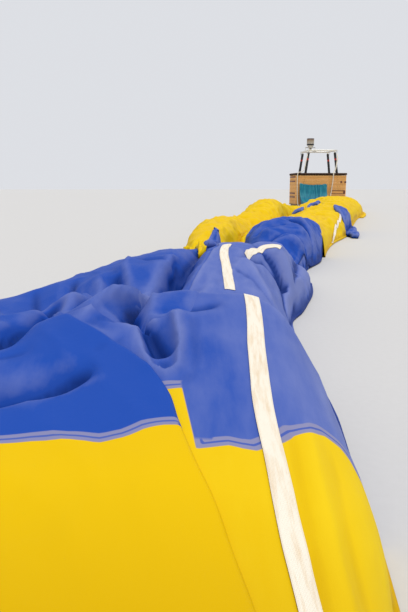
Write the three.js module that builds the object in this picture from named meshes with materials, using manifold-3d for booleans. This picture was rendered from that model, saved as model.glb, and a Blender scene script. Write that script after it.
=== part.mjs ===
// Hot air balloon after landing: the basket stands with its burner up, and the envelope lies laid out.
// Millimetres, +Z up, origin on the ground under the middle of the basket.

import * as THREE from 'three';
import { mergeVertices } from 'three/addons/utils/BufferGeometryUtils.js';
import Module from 'manifold-3d';

const wasm = await Module();
wasm.setup();

// Driving dimensions

const seatGap = 0.3;

const basket = {
  width: 1810,
  depth: 1250,
  cornerRadius: 90,
  wall: 35,
  wallTop: 1075,
};
const runner = { count: 5, width: 70, height: 50, pitch: 400, endInset: 60, sink: 5 };
const floorBoard = { thickness: 30, inset: 4 };
const rim = { flat: 16, round: 32 };

const loadFrame = {
  halfWidth: 480,
  halfDepth: 510,
  cornerRadius: 90,
  height: 1920,
  tubeFlat: 8,
  tubeRound: 20,
  stubLength: 85,
  stubRadius: 27,
  crossRadius: 22,
};
const upright = {
  radius: 45,
  rimX: 556,
  rimY: 515,
  rimHeight: 1150,
  footHeight: 627,
};
const pocket = { width: 150, reach: 105, top: 620, depth: 70 };

const cylinder = {
  radius: 150, height: 860, acrossGap: 16, wallGap: 6, skirtInset: 22, skirtTop: 30, valleyInset: 6, neckInset: 50,
};

const gimbal = {
  x: -300,
  height: 2050,
  innerRadius: 144,
  outerRadius: 156,
  ringHeight: 24,
  pinRadius: 7,
  pinClearance: 0.6,
  postReach: 172,
  postThickness: 12,
  postWidth: 36,
  postHead: 18,
  pinProud: 6,
  holeReach: 20,
};
const burner = {
  canRadius: 130,
  canWall: 5,
  canFloor: 8,
  canBottom: 120,
  canTop: 310,
  collarRadius: 127,
  collarBottom: 70,
  blockTopRadius: 105,
  blockWaistRadius: 78,
  blockFootRadius: 45,
  blockFoot: -80,
};
const coil = { inner: 84, outer: 112, turns: 4, pitch: 26, groove: 4 };
const valve = { seatProud: 12, height: -52, reach: 120, radius: 17, leverWidth: 12, leverDepth: 14, leverLength: 62 };
const karabiner = { length: 110, width: 62, cornerRadius: 18, barFlat: 4, barRound: 4, slack: 0.4 };
const lug = { thickness: 10, height: 44, start: 10, reach: 107, drop: 2, hole: 13, tip: 7 };

// The envelope is laid out beside a straight ground line that passes left of the basket.
const layLine = { x: -5226, y: -21694, turn: -2.8 };

// Small helpers

const degrees = Math.PI / 180;
const group = new THREE.Group();
const laid = new THREE.Group();
laid.position.set(layLine.x, layLine.y, 0);
laid.rotation.z = layLine.turn * degrees;
group.add(laid);

function finish(color, roughness, metalness) {
  return new THREE.MeshStandardMaterial({ color, roughness, metalness });
}

const wicker = finish('#cf9650', 0.8, 0);
const wood = finish('#a98252', 0.8, 0);
const darkLeather = finish('#2c2d26', 0.6, 0);
const paddedCover = finish('#1a1a1d', 0.85, 0);
const steel = finish('#c9c4b4', 0.4, 0.9);
const stainless = finish('#8d8379', 0.35, 1);
const blackMetal = finish('#15161a', 0.5, 0.3);
const aluminium = finish('#b9bcbe', 0.35, 1);
const creamRope = finish('#e6dcc0', 0.9, 0);
const yellowCloth = finish('#f2cf10', 0.6, 0);
const blueCloth = finish('#3d62c0', 0.6, 0);
const tealCloth = finish('#006e8c', 0.8, 0);

function addPiece(parent, name, geometry, material) {
  const mesh = new THREE.Mesh(geometry, material);
  mesh.name = name;
  parent.add(mesh);
  return mesh;
}

function solidOf(geometry) {
  const bare = geometry.clone();
  bare.deleteAttribute('normal');
  bare.deleteAttribute('uv');
  const merged = mergeVertices(bare, 1e-3);
  return new wasm.Manifold(new wasm.Mesh({
    numProp: 3,
    vertProperties: new Float32Array(merged.attributes.position.array),
    triVerts: new Uint32Array(merged.index.array),
  }));
}

function geometryOf(solid) {
  const mesh = solid.getMesh();
  const geometry = new THREE.BufferGeometry();
  geometry.setAttribute('position', new THREE.BufferAttribute(mesh.vertProperties, 3));
  geometry.setIndex(new THREE.BufferAttribute(mesh.triVerts, 1));
  return geometry;
}

function join(geometries) {
  return geometryOf(geometries.map(solidOf).reduce((whole, next) => whole.add(next)));
}

function cut(geometry, tools) {
  return geometryOf(tools.map(solidOf).reduce((left, tool) => left.subtract(tool), solidOf(geometry)));
}

function block(sizeX, sizeY, sizeZ, x, y, z) {
  return new THREE.BoxGeometry(sizeX, sizeY, sizeZ).translate(x, y, z);
}

// A straight round bar from one point to another.
function bar(start, end, radius, sides = 12) {
  const run = new THREE.Vector3().subVectors(end, start);
  const middle = new THREE.Vector3().addVectors(start, end).multiplyScalar(0.5);
  const turn = new THREE.Quaternion().setFromUnitVectors(new THREE.Vector3(0, 1, 0), run.clone().normalize());
  return new THREE.CylinderGeometry(radius, radius, run.length(), sides)
    .applyQuaternion(turn)
    .translate(middle.x, middle.y, middle.z);
}

// A turned shape about an upright axis; the profile lists radius and height.
function turned(profile, segments) {
  const points = profile.map(([radius, height]) => new THREE.Vector2(radius, height));
  return new THREE.LatheGeometry(points, segments).rotateX(Math.PI / 2);
}

function roundedOutline(target, halfX, halfY, radius) {
  target.moveTo(halfX, -halfY + radius);
  target.lineTo(halfX, halfY - radius);
  target.absarc(halfX - radius, halfY - radius, radius, 0, Math.PI / 2);
  target.lineTo(-halfX + radius, halfY);
  target.absarc(-halfX + radius, halfY - radius, radius, Math.PI / 2, Math.PI);
  target.lineTo(-halfX, -halfY + radius);
  target.absarc(-halfX + radius, -halfY + radius, radius, Math.PI, Math.PI * 1.5);
  target.lineTo(halfX - radius, -halfY);
  target.absarc(halfX - radius, -halfY + radius, radius, Math.PI * 1.5, Math.PI * 2);
  return target;
}

// A band that follows a rounded rectangle; halfX, halfY and radius are those of its middle line.
function roundedBand(halfX, halfY, radius, width, options) {
  const half = width / 2;
  const outline = roundedOutline(new THREE.Shape(), halfX + half, halfY + half, radius + half);
  outline.holes.push(roundedOutline(new THREE.Path(), halfX - half, halfY - half, radius - half));
  return new THREE.ExtrudeGeometry(outline, { curveSegments: 5, bevelEnabled: false, ...options });
}

// A round tube bent along a rounded rectangle, with its middle at height zero.
function tubeLoop(halfX, halfY, radius, flat, round, steps) {
  return roundedBand(halfX, halfY, radius, flat, {
    depth: flat,
    bevelEnabled: true,
    bevelThickness: round,
    bevelSize: round,
    bevelSegments: steps,
    curveSegments: steps + 1,
  }).translate(0, 0, -flat / 2);
}

// Basket: floor on its runners, woven wall, padded rim

function buildFloor() {
  const halfX = basket.width / 2 - floorBoard.inset;
  const halfY = basket.depth / 2 - floorBoard.inset;
  const outline = roundedOutline(new THREE.Shape(), halfX, halfY, basket.cornerRadius);
  const board = new THREE.ExtrudeGeometry(outline, {
    depth: floorBoard.thickness, curveSegments: 5, bevelEnabled: false,
  }).translate(0, 0, runner.height);
  const pieces = [board];
  for (let index = 0; index < runner.count; index += 1) {
    const x = (index - (runner.count - 1) / 2) * runner.pitch;
    const height = runner.height + runner.sink;
    pieces.push(block(runner.width, basket.depth - 2 * runner.endInset, height, x, 0, height / 2));
  }
  return join(pieces);
}

const floorTop = runner.height + floorBoard.thickness;
const wallMiddleX = (basket.width - basket.wall) / 2;
const wallMiddleY = (basket.depth - basket.wall) / 2;
const wallMiddleRadius = basket.cornerRadius - basket.wall / 2;

addPiece(group, 'floor_with_runners', buildFloor(), wood);

const wallBottom = floorTop + seatGap;
addPiece(group, 'basket_weave', roundedBand(wallMiddleX, wallMiddleY, wallMiddleRadius, basket.wall, {
  depth: basket.wallTop - wallBottom,
}).translate(0, 0, wallBottom), wicker);

const rimRadius = rim.flat / 2 + rim.round;
const rimMiddle = basket.wallTop + seatGap + rimRadius;
addPiece(group, 'padded_rim', tubeLoop(wallMiddleX, wallMiddleY, wallMiddleRadius, rim.flat, rim.round, 3)
  .translate(0, 0, rimMiddle), darkLeather);

// Burner frame, its four uprights and their pockets on the inner wall

const corners = [
  { name: 'near_left', sideX: -1, sideY: -1 },
  { name: 'near_right', sideX: 1, sideY: -1 },
  { name: 'far_left', sideX: -1, sideY: 1 },
  { name: 'far_right', sideX: 1, sideY: 1 },
];
const cornerInset = loadFrame.cornerRadius * (1 - Math.SQRT1_2);

function uprightLine({ sideX, sideY }) {
  const top = new THREE.Vector3(
    sideX * (loadFrame.halfWidth - cornerInset),
    sideY * (loadFrame.halfDepth - cornerInset),
    loadFrame.height,
  );
  const atRim = new THREE.Vector3(sideX * upright.rimX, sideY * upright.rimY, upright.rimHeight);
  const down = new THREE.Vector3().subVectors(atRim, top).normalize();
  const reach = (loadFrame.height - upright.footHeight) / -down.z;
  return { top, down, foot: top.clone().addScaledVector(down, reach) };
}

for (const corner of corners) {
  const line = uprightLine(corner);
  const coverTop = line.top.clone().addScaledVector(line.down, loadFrame.stubLength + seatGap);
  addPiece(group, `upright_${corner.name}`, bar(line.foot, coverTop, upright.radius, 14), paddedCover);
  const innerWall = basket.depth / 2 - basket.wall - seatGap;
  addPiece(group, `upright_pocket_${corner.name}`, block(
    pocket.width, pocket.reach, pocket.depth,
    line.foot.x, corner.sideY * (innerWall - pocket.reach / 2), pocket.top - pocket.depth / 2,
  ), darkLeather);
}

function lugPlace({ sideX, sideY }) {
  return {
    x: sideX * (loadFrame.halfWidth - cornerInset),
    y: sideY * (loadFrame.halfDepth - cornerInset),
    heading: Math.atan2(sideY, sideX),
  };
}

const lugMiddle = (lug.start + lug.reach) / 2;
const lugHoleReach = lug.reach - lug.hole - lug.tip;

function buildLoadFrame() {
  const { halfWidth, halfDepth, cornerRadius, tubeFlat, tubeRound, height } = loadFrame;
  const pieces = [tubeLoop(halfWidth, halfDepth, cornerRadius, tubeFlat, tubeRound, 3).translate(0, 0, height)];
  const holes = [];
  for (const corner of corners) {
    const line = uprightLine(corner);
    const stubEnd = line.top.clone().addScaledVector(line.down, loadFrame.stubLength);
    pieces.push(bar(line.top, stubEnd, loadFrame.stubRadius));
    const place = lugPlace(corner);
    pieces.push(block(lug.reach - lug.start, lug.thickness, lug.height, lugMiddle, 0, -lug.drop)
      .rotateZ(place.heading)
      .translate(place.x, place.y, height));
    holes.push(bar(
      new THREE.Vector3(lugHoleReach, -lug.thickness, -lug.drop),
      new THREE.Vector3(lugHoleReach, lug.thickness, -lug.drop),
      lug.hole,
    ).rotateZ(place.heading).translate(place.x, place.y, height));
  }
  const crossX = gimbal.x + gimbal.postReach;
  pieces.push(bar(
    new THREE.Vector3(crossX, -halfDepth, height),
    new THREE.Vector3(crossX, halfDepth, height),
    loadFrame.crossRadius,
  ));
  const postTop = gimbal.height + gimbal.postHead;
  for (const side of [-1, 1]) {
    const x = gimbal.x + side * gimbal.postReach;
    pieces.push(block(gimbal.postThickness, gimbal.postWidth, postTop - height, x, 0, (postTop + height) / 2));
    holes.push(bar(
      new THREE.Vector3(x - gimbal.holeReach, 0, gimbal.height),
      new THREE.Vector3(x + gimbal.holeReach, 0, gimbal.height),
      gimbal.pinRadius + gimbal.pinClearance,
    ));
  }
  return cut(join(pieces), holes);
}

addPiece(group, 'burner_frame', buildLoadFrame(), steel);

function buildKarabiner(corner) {
  const place = lugPlace(corner);
  const barRadius = karabiner.barFlat / 2 + karabiner.barRound;
  const halfLength = karabiner.length / 2 - barRadius;
  const halfWidth = karabiner.width / 2 - barRadius;
  const rest = lug.hole - barRadius - seatGap - karabiner.slack;
  return tubeLoop(halfWidth, halfLength, karabiner.cornerRadius, karabiner.barFlat, karabiner.barRound, 1)
    .rotateX(Math.PI / 2)
    .translate(0, 0, -halfLength - rest - lug.drop)
    .rotateZ(Math.PI / 2)
    .translate(lugHoleReach, 0, 0)
    .rotateZ(place.heading)
    .translate(place.x, place.y, loadFrame.height);
}

for (const corner of corners) {
  addPiece(group, `karabiner_${corner.name}`, buildKarabiner(corner), aluminium);
}

// Fuel cylinders, two against each end wall

const cylinderProfile = [
  [0, 0],
  [cylinder.radius - cylinder.skirtInset, 0],
  [cylinder.radius - cylinder.skirtInset, cylinder.skirtTop],
  [cylinder.radius - cylinder.valleyInset, cylinder.skirtTop + 18],
  [cylinder.radius, cylinder.skirtTop + 50],
  [cylinder.radius, cylinder.height - 150],
  [cylinder.radius - 14, cylinder.height - 115],
  [cylinder.radius - cylinder.neckInset, cylinder.height - 84],
  [cylinder.radius - cylinder.neckInset, cylinder.height],
  [0, cylinder.height],
];
const cylinderX = basket.width / 2 - basket.wall - cylinder.wallGap - cylinder.radius;
const cylinderY = cylinder.radius + cylinder.acrossGap / 2;
for (const corner of corners) {
  const shape = turned(cylinderProfile, 24)
    .translate(corner.sideX * cylinderX, corner.sideY * cylinderY, floorTop + seatGap);
  addPiece(group, `fuel_cylinder_${corner.name}`, shape, aluminium);
}

// Gimbal ring and burner; their local origin is the crossing of the two tilt axes

const pivot = new THREE.Group();
pivot.position.set(gimbal.x, 0, gimbal.height);
group.add(pivot);

function buildGimbalRing() {
  const middle = (gimbal.innerRadius + gimbal.outerRadius) / 2;
  const halfWall = (gimbal.outerRadius - gimbal.innerRadius) / 2;
  const halfHeight = gimbal.ringHeight / 2;
  const ring = turned([
    [middle - halfWall, -halfHeight], [middle + halfWall, -halfHeight],
    [middle + halfWall, halfHeight], [middle - halfWall, halfHeight], [middle - halfWall, -halfHeight],
  ], 32);
  const pinEnd = gimbal.postReach + gimbal.postThickness / 2 + gimbal.pinProud;
  const pins = [-1, 1].map((side) => bar(
    new THREE.Vector3(side * middle, 0, 0),
    new THREE.Vector3(side * pinEnd, 0, 0),
    gimbal.pinRadius,
  ));
  const holes = [-1, 1].map((side) => bar(
    new THREE.Vector3(0, side * (middle - gimbal.holeReach), 0),
    new THREE.Vector3(0, side * (middle + gimbal.holeReach), 0),
    gimbal.pinRadius + gimbal.pinClearance,
  ));
  return cut(join([ring, ...pins]), holes);
}

addPiece(pivot, 'gimbal_ring', buildGimbalRing(), steel);

function buildBurnerBlock() {
  const body = turned([
    [0, burner.blockFoot], [burner.blockFootRadius, burner.blockFoot],
    [burner.blockFootRadius + 8, burner.blockFoot + 40], [burner.blockWaistRadius, 0],
    [burner.blockTopRadius, burner.collarBottom], [0, burner.collarBottom],
  ], 24);
  const pinEnd = gimbal.outerRadius + gimbal.pinProud;
  const pins = [-1, 1].map((side) => bar(
    new THREE.Vector3(0, side * (burner.blockWaistRadius - gimbal.holeReach), 0),
    new THREE.Vector3(0, side * pinEnd, 0),
    gimbal.pinRadius,
  ));
  return join([body, ...pins]);
}

addPiece(pivot, 'burner_block', buildBurnerBlock(), steel);

const collarHeight = burner.canBottom - burner.collarBottom - seatGap;
addPiece(pivot, 'burner_collar', turned([
  [0, 0], [burner.collarRadius, 0], [burner.collarRadius, collarHeight], [0, collarHeight],
], 28).translate(0, 0, burner.collarBottom + seatGap), blackMetal);

const canInner = burner.canRadius - burner.canWall;
const canFloorTop = burner.canBottom + seatGap + burner.canFloor;
addPiece(pivot, 'burner_can', turned([
  [0, burner.canBottom + seatGap], [burner.canRadius, burner.canBottom + seatGap],
  [burner.canRadius, burner.canTop], [canInner, burner.canTop], [canInner, canFloorTop], [0, canFloorTop],
], 28), stainless);

function buildCoil() {
  const up = [];
  const down = [];
  for (let index = 0; index < coil.turns; index += 1) {
    const base = canFloorTop + seatGap + index * coil.pitch;
    up.push([coil.outer - coil.groove, base], [coil.outer, base + coil.pitch / 2]);
    down.unshift([coil.inner, base + coil.pitch / 2], [coil.inner + coil.groove, base]);
  }
  const top = canFloorTop + seatGap + coil.turns * coil.pitch;
  return turned([...up, [coil.outer - coil.groove, top], [coil.inner + coil.groove, top], ...down, up[0]], 20);
}

addPiece(pivot, 'burner_coil', buildCoil(), stainless);

function buildBlastValve(side) {
  const seat = burner.blockFootRadius + valve.seatProud;
  const barrel = bar(
    new THREE.Vector3(0, side * seat, valve.height),
    new THREE.Vector3(0, side * valve.reach, valve.height),
    valve.radius,
  );
  const leverY = side * (valve.reach - valve.leverDepth / 2 - 1);
  const leverZ = valve.height - valve.radius / 2 - valve.leverLength / 2 + 6;
  return join([barrel, block(valve.leverWidth, valve.leverDepth, valve.leverLength, 0, leverY, leverZ)]);
}

addPiece(pivot, 'blast_valve_near', buildBlastValve(-1), blackMetal);
addPiece(pivot, 'blast_valve_far', buildBlastValve(1), blackMetal);

// Envelope, laid out beside the lay line: along runs with the line, across is to its right

const ground = 0;
const seam = 1;

// A heap of cloth. Each station is [along, left edge, right edge, height].
function heap(stations) {
  const arcPoints = 11;
  const fullness = 0.72;
  const positions = [];
  for (const [along, left, right, height] of stations) {
    const middle = (left + right) / 2;
    const half = (right - left) / 2;
    for (let index = 0; index < arcPoints; index += 1) {
      const angle = (Math.PI * index) / (arcPoints - 1);
      const rise = index === 0 || index === arcPoints - 1 ? 0 : Math.sin(angle) ** fullness;
      positions.push(middle + half * Math.cos(angle), along, ground + height * rise);
    }
  }
  const triangles = [];
  for (let station = 0; station < stations.length - 1; station += 1) {
    for (let index = 0; index < arcPoints; index += 1) {
      const next = (index + 1) % arcPoints;
      const a = station * arcPoints + index;
      const b = station * arcPoints + next;
      const c = a + arcPoints;
      const d = b + arcPoints;
      triangles.push(a, c, d, a, d, b);
    }
  }
  const last = (stations.length - 1) * arcPoints;
  for (let index = 1; index < arcPoints - 1; index += 1) {
    triangles.push(0, index, index + 1);
    triangles.push(last, last + index + 1, last + index);
  }
  const geometry = new THREE.BufferGeometry();
  geometry.setAttribute('position', new THREE.Float32BufferAttribute(positions, 3));
  geometry.setIndex(triangles);
  return geometry;
}

// Moves the first station of a heap on by one seam, so that it clears the heap before it.
function after([first, ...rest]) {
  return [[first[0] + seam, ...first.slice(1)], ...rest];
}

// along, left edge, right edge, height
const crownToBelly = [
  [-1900, -600, -60, 70],
  [-1400, -880, 100, 130],
  [-700, -1120, 220, 150],
  [0, -1240, 280, 150],
  [500, -1310, 310, 170],
  [950, -1360, 340, 250],
];
const belly = [
  [950, -1360, 340, 250],
  [1300, -1380, 380, 320],
  [1560, -1380, 405, 370],
  [2100, -1365, 445, 280],
  [2750, -1250, 470, 380],
  [3200, -1080, 490, 345],
];
const waist = [
  [3200, -1080, 490, 345],
  [3700, -900, 660, 290],
  [4300, -760, 800, 255],
  [4900, -620, 960, 270],
  [5400, -480, 1080, 320],
];

// along, left edge, dividing line, right edge, left height, right height
const doubleRun = [
  [5400, -480, 200, 1080, 300, 360],
  [6200, -200, 420, 1360, 340, 400],
  [7000, -100, 620, 1660, 340, 380],
  [7800, 20, 820, 1980, 350, 340],
  [8800, 280, 1100, 2280, 380, 340],
  [10000, 720, 1500, 2620, 430, 380],
  [11200, 1080, 1900, 2960, 450, 400],
  [12500, 1500, 2300, 3300, 380, 420],
];
const leftRun = doubleRun.map(([along, left, divide, , height]) => [along, left, divide - seam, height]);
const rightRun = doubleRun.map(([along, , divide, right, , height]) => [along, divide + seam, right, height]);
const moundStations = 4;

// along, left edge, right edge, height
const farRun = [
  [12500, 1500, 3300, 420],
  [14000, 2100, 3750, 430],
  [15500, 2600, 4100, 420],
  [16500, 2900, 4300, 360],
];
const neck = [
  [16500, 2900, 4300, 340],
  [17500, 3200, 4420, 280],
  [18800, 3400, 4440, 210],
  [20097, 3470, 4430, 125],
];

addPiece(laid, 'envelope_crown', heap(crownToBelly), yellowCloth);
addPiece(laid, 'envelope_belly', heap(after(belly)), blueCloth);
addPiece(laid, 'envelope_waist', heap(after(waist)), blueCloth);
addPiece(laid, 'envelope_left_roll', heap(after(leftRun)), yellowCloth);
addPiece(laid, 'envelope_blue_mound', heap(after(rightRun.slice(0, moundStations))), blueCloth);
addPiece(laid, 'envelope_right_fold', heap(after(rightRun.slice(moundStations - 1))), yellowCloth);
addPiece(laid, 'envelope_far_heap', heap(after(farRun)), yellowCloth);
addPiece(laid, 'envelope_neck', heap(after(neck)), yellowCloth);

// Crown ring, flat on the ground at the tip of the envelope

const crownRing = { radius: 150, wire: 10 };
const crownTip = crownToBelly[0];
const ringOuter = crownRing.radius + crownRing.wire;
addPiece(laid, 'crown_ring', new THREE.TorusGeometry(crownRing.radius, crownRing.wire, 8, 24).translate(
  (crownTip[1] + crownTip[2]) / 2, crownTip[0] - ringOuter - seatGap, crownRing.wire,
), aluminium);

// Mouth scoop, held up against the near wall of the basket; its outline lists y and height

const scoop = { left: -790, right: 190 };
const scoopOutline = [
  [-1790, 0], [-930, 0], [-700, 380], [-650, 790], [-690, 795], [-800, 430], [-1200, 170], [-1790, 110],
];
const scoopShape = new THREE.Shape(scoopOutline.map(([y, z]) => new THREE.Vector2(y, z)));
addPiece(group, 'mouth_scoop', new THREE.ExtrudeGeometry(scoopShape, {
  depth: scoop.right - scoop.left, bevelEnabled: false,
}).applyMatrix4(new THREE.Matrix4().makeBasis(
  new THREE.Vector3(0, 1, 0), new THREE.Vector3(0, 0, 1), new THREE.Vector3(1, 0, 0),
)).translate(scoop.left, 0, 0), tealCloth);

// Slack flying wires, a bundle on each side, from the frame over the rim and down to the mouth

const wireBundles = [
  {
    name: 'flying_wires_left',
    radius: 16,
    route: [
      [-516, -546, 1806.7], [-530, -566, 1722], [-555, -590, 1630], [-578, -604, 1510], [-606, -606, 1350],
      [-650, -614, 1235], [-720, -624, 1184], [-790, -642, 1178], [-842, -664, 1152], [-864, -664, 1090],
      [-866, -650, 980], [-864, -646, 780], [-858, -648, 560], [-850, -654, 340], [-842, -680, 170],
      [-838, -740, 60], [-840, -850, 24], [-850, -980, 18], [-856, -1120, 18], [-852, -1250, 18],
      [-838, -1326, 18], [-814, -1358, 18], [-790.6, -1358, 18],
    ],
  },
  {
    name: 'flying_wires_right',
    radius: 20,
    route: [
      [520, -550, 1805.5], [532, -576, 1722], [536, -594, 1630], [520, -606, 1510], [496, -612, 1350],
      [468, -620, 1250], [438, -636, 1196], [414, -664, 1166], [403, -680, 1090], [396, -668, 960],
      [380, -658, 780], [352, -656, 560], [320, -662, 340], [290, -696, 170], [274, -770, 60],
      [268, -900, 26], [262, -1030, 22], [258, -1160, 22], [250, -1260, 22],
      [238, -1326, 22], [214, -1358, 22], [190.6, -1358, 22],
    ],
  },
];

function polygonShape(radius, sides) {
  const points = [];
  for (let index = 0; index < sides; index += 1) {
    const angle = (Math.PI * 2 * index) / sides;
    points.push(new THREE.Vector2(radius * Math.cos(angle), radius * Math.sin(angle)));
  }
  return new THREE.Shape(points);
}

for (const bundle of wireBundles) {
  const curve = new THREE.CatmullRomCurve3(bundle.route.map(([x, y, z]) => new THREE.Vector3(x, y, z)));
  addPiece(group, bundle.name, new THREE.ExtrudeGeometry(polygonShape(bundle.radius, 8), {
    steps: 40, extrudePath: curve, bevelEnabled: false,
  }), creamRope);
}

export default group;
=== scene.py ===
"""A hot air balloon after landing: basket, burner, slack wires and the envelope laid out in a long heap."""

from contextlib import contextmanager
import math

import bpy
import numpy as np
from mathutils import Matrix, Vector
from mathutils.bvhtree import BVHTree


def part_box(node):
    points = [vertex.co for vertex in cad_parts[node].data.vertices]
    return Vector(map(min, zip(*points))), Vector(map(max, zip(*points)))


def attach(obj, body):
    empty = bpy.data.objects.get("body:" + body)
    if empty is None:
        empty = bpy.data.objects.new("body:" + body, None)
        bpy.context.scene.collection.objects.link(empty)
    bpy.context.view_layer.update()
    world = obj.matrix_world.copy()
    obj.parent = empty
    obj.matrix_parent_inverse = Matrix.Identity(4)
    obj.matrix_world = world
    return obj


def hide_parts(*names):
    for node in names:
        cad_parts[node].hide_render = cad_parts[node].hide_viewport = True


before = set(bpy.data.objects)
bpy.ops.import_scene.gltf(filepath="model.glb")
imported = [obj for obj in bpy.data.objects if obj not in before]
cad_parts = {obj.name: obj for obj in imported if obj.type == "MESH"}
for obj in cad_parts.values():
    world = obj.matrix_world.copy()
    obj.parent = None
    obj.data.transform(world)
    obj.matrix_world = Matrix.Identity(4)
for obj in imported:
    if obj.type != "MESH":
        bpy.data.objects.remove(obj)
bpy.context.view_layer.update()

bpy.ops.object.select_all(action="DESELECT")


def add_object(name, data):
    """A new object in the scene."""
    made = bpy.data.objects.new(name, data)
    bpy.context.collection.objects.link(made)
    return made


# Camera, beside the heap and looking over it at the basket

LAY_START = (-5.226, -21.694)
LAY_TURN = math.radians(-2.98)
EYE_HEIGHT = 0.65
LOOK_DOWN = math.radians(11.26)


def add_camera():
    data = bpy.data.cameras.new("camera")
    data.lens = 35.0
    data.sensor_fit = "VERTICAL"
    data.sensor_height = 36.0
    data.clip_end = 400.0
    camera = add_object("camera", data)
    camera.location = (*LAY_START, EYE_HEIGHT)
    camera.rotation_euler = (math.radians(90.0) - LOOK_DOWN, 0.0, LAY_TURN)
    bpy.context.scene.camera = camera


add_camera()


# Basket: sizes of the woven wall, taken at the middle of its thickness, of its rim, and heights for finishes

WALL_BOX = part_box("basket_weave")
WALL_MIDDLE = 0.0175
WALL_HALF = (WALL_BOX[1][0] - WALL_MIDDLE, WALL_BOX[1][1] - WALL_MIDDLE)
WALL_CORNER = 0.090 - WALL_MIDDLE
COURSE = 0.0158
STRAND_RADIUS = 0.0082
STRAND_SWING = 0.0088
STAKE_RADIUS = 0.0068
PERIODS = 50
LACE_PITCH = 0.118
LACE_RADIUS = 0.0032
RIM_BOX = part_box("padded_rim")
RIM_RADIUS = (RIM_BOX[1][2] - RIM_BOX[0][2]) / 2.0
RIM_HEIGHT = (RIM_BOX[1][2] + RIM_BOX[0][2]) / 2.0
RED_BAND = (1.590, 1.650)
CAN_FOOT = 2.170


# Finishes

class Field:
    """A shader socket that takes part in sums like a number."""

    def __init__(self, finish, socket):
        self.finish = finish
        self.socket = socket

    def maths(self, operation, *values):
        node = self.finish.tree.nodes.new("ShaderNodeMath")
        node.operation = operation
        for slot, value in enumerate(values):
            self.finish.feed(node.inputs[slot], value)
        return Field(self.finish, node.outputs[0])

    def __add__(self, other):
        return self.maths("ADD", self, other)

    __radd__ = __add__

    def __sub__(self, other):
        return self.maths("SUBTRACT", self, other)

    def __rsub__(self, other):
        return self.maths("SUBTRACT", other, self)

    def __mul__(self, other):
        return self.maths("MULTIPLY", self, other)

    __rmul__ = __mul__

    def __abs__(self):
        return self.maths("ABSOLUTE", self)

    def __gt__(self, other):
        return self.maths("GREATER_THAN", self, other)

    def __lt__(self, other):
        return self.maths("LESS_THAN", self, other)

    def held(self):
        """The value kept between 0 and 1."""
        total = self + 0.0
        total.socket.node.use_clamp = True
        return total

    def wave(self):
        return self.maths("SINE", self)

    def part(self):
        return self.maths("FRACT", self)


class Finish:
    """One material on a principled surface."""

    def __init__(self, name, **constants):
        self.material = bpy.data.materials.new(name)
        self.material.use_nodes = True
        self.tree = self.material.node_tree
        self.surface = self.tree.nodes["Principled BSDF"]
        sockets = {socket.name.lower().replace(" ", "_"): socket for socket in self.surface.inputs}
        for word, value in constants.items():
            sockets[word].default_value = value

    def feed(self, socket, value):
        if isinstance(value, Field):
            self.tree.links.new(value.socket, socket)
        elif isinstance(value, (int, float)) or not hasattr(socket.default_value, "__len__"):
            socket.default_value = value
        else:
            width = len(socket.default_value)
            socket.default_value = tuple(value)[:width] if len(value) >= width else (*value, 1.0)

    def node(self, kind, settings=None, inputs=None, output=0):
        node = self.tree.nodes.new(kind)
        for word, value in (settings or {}).items():
            if word == "stops":
                ramp = node.color_ramp
                while len(ramp.elements) < len(value):
                    ramp.elements.new(0.5)
                for element, (place, color) in zip(ramp.elements, value):
                    element.position = place
                    element.color = (*color, 1.0)
            else:
                setattr(node, word, value)
        for word, value in (inputs or {}).items():
            self.feed(node.inputs[word], value)
        return Field(self, node.outputs[output])

    def place(self):
        return self.node("ShaderNodeTexCoord", output="Object")

    def height(self):
        return self.node("ShaderNodeSeparateXYZ", {}, {"Vector": self.place()}, output="Z")

    def plan(self, x, y):
        return self.node("ShaderNodeCombineXYZ", {}, {"X": x, "Y": y})

    def scaled(self, vector, scale):
        return self.node("ShaderNodeMapping", {}, {"Vector": vector, "Scale": scale})

    def attribute(self, name):
        return self.node("ShaderNodeAttribute", {"attribute_name": name}, output="Fac")

    def noise(self, vector, scale, detail=3.0, roughness=0.5, distortion=0.0):
        return self.node("ShaderNodeTexNoise", {}, {
            "Vector": vector, "Scale": scale, "Detail": detail, "Roughness": roughness,
            "Distortion": distortion,
        })

    def patches(self, vector, scale, detail, roughness, start, slope):
        """Noise made into patches from 0 to 1, which begin where it passes start."""
        return ((self.noise(vector, scale, detail, roughness) - start) * slope).held()

    def mix(self, amount, first, second):
        """A colour between two colours."""
        node = self.tree.nodes.new("ShaderNodeMix")
        node.data_type = "RGBA"
        for slot, value in ((0, amount), (6, first), (7, second)):
            self.feed(node.inputs[slot], value)
        return Field(self, node.outputs[2])

    def bump(self, height, distance, strength=1.0, under=None):
        inputs = {"Height": height, "Distance": distance, "Strength": strength}
        if under is not None:
            inputs["Normal"] = under
        return self.node("ShaderNodeBump", {}, inputs)

    def show(self, color, roughness=None, normal=None):
        for word, value in (("Base Color", color), ("Roughness", roughness), ("Normal", normal)):
            if value is not None:
                self.feed(self.surface.inputs[word], value)
        return self.material


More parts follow.
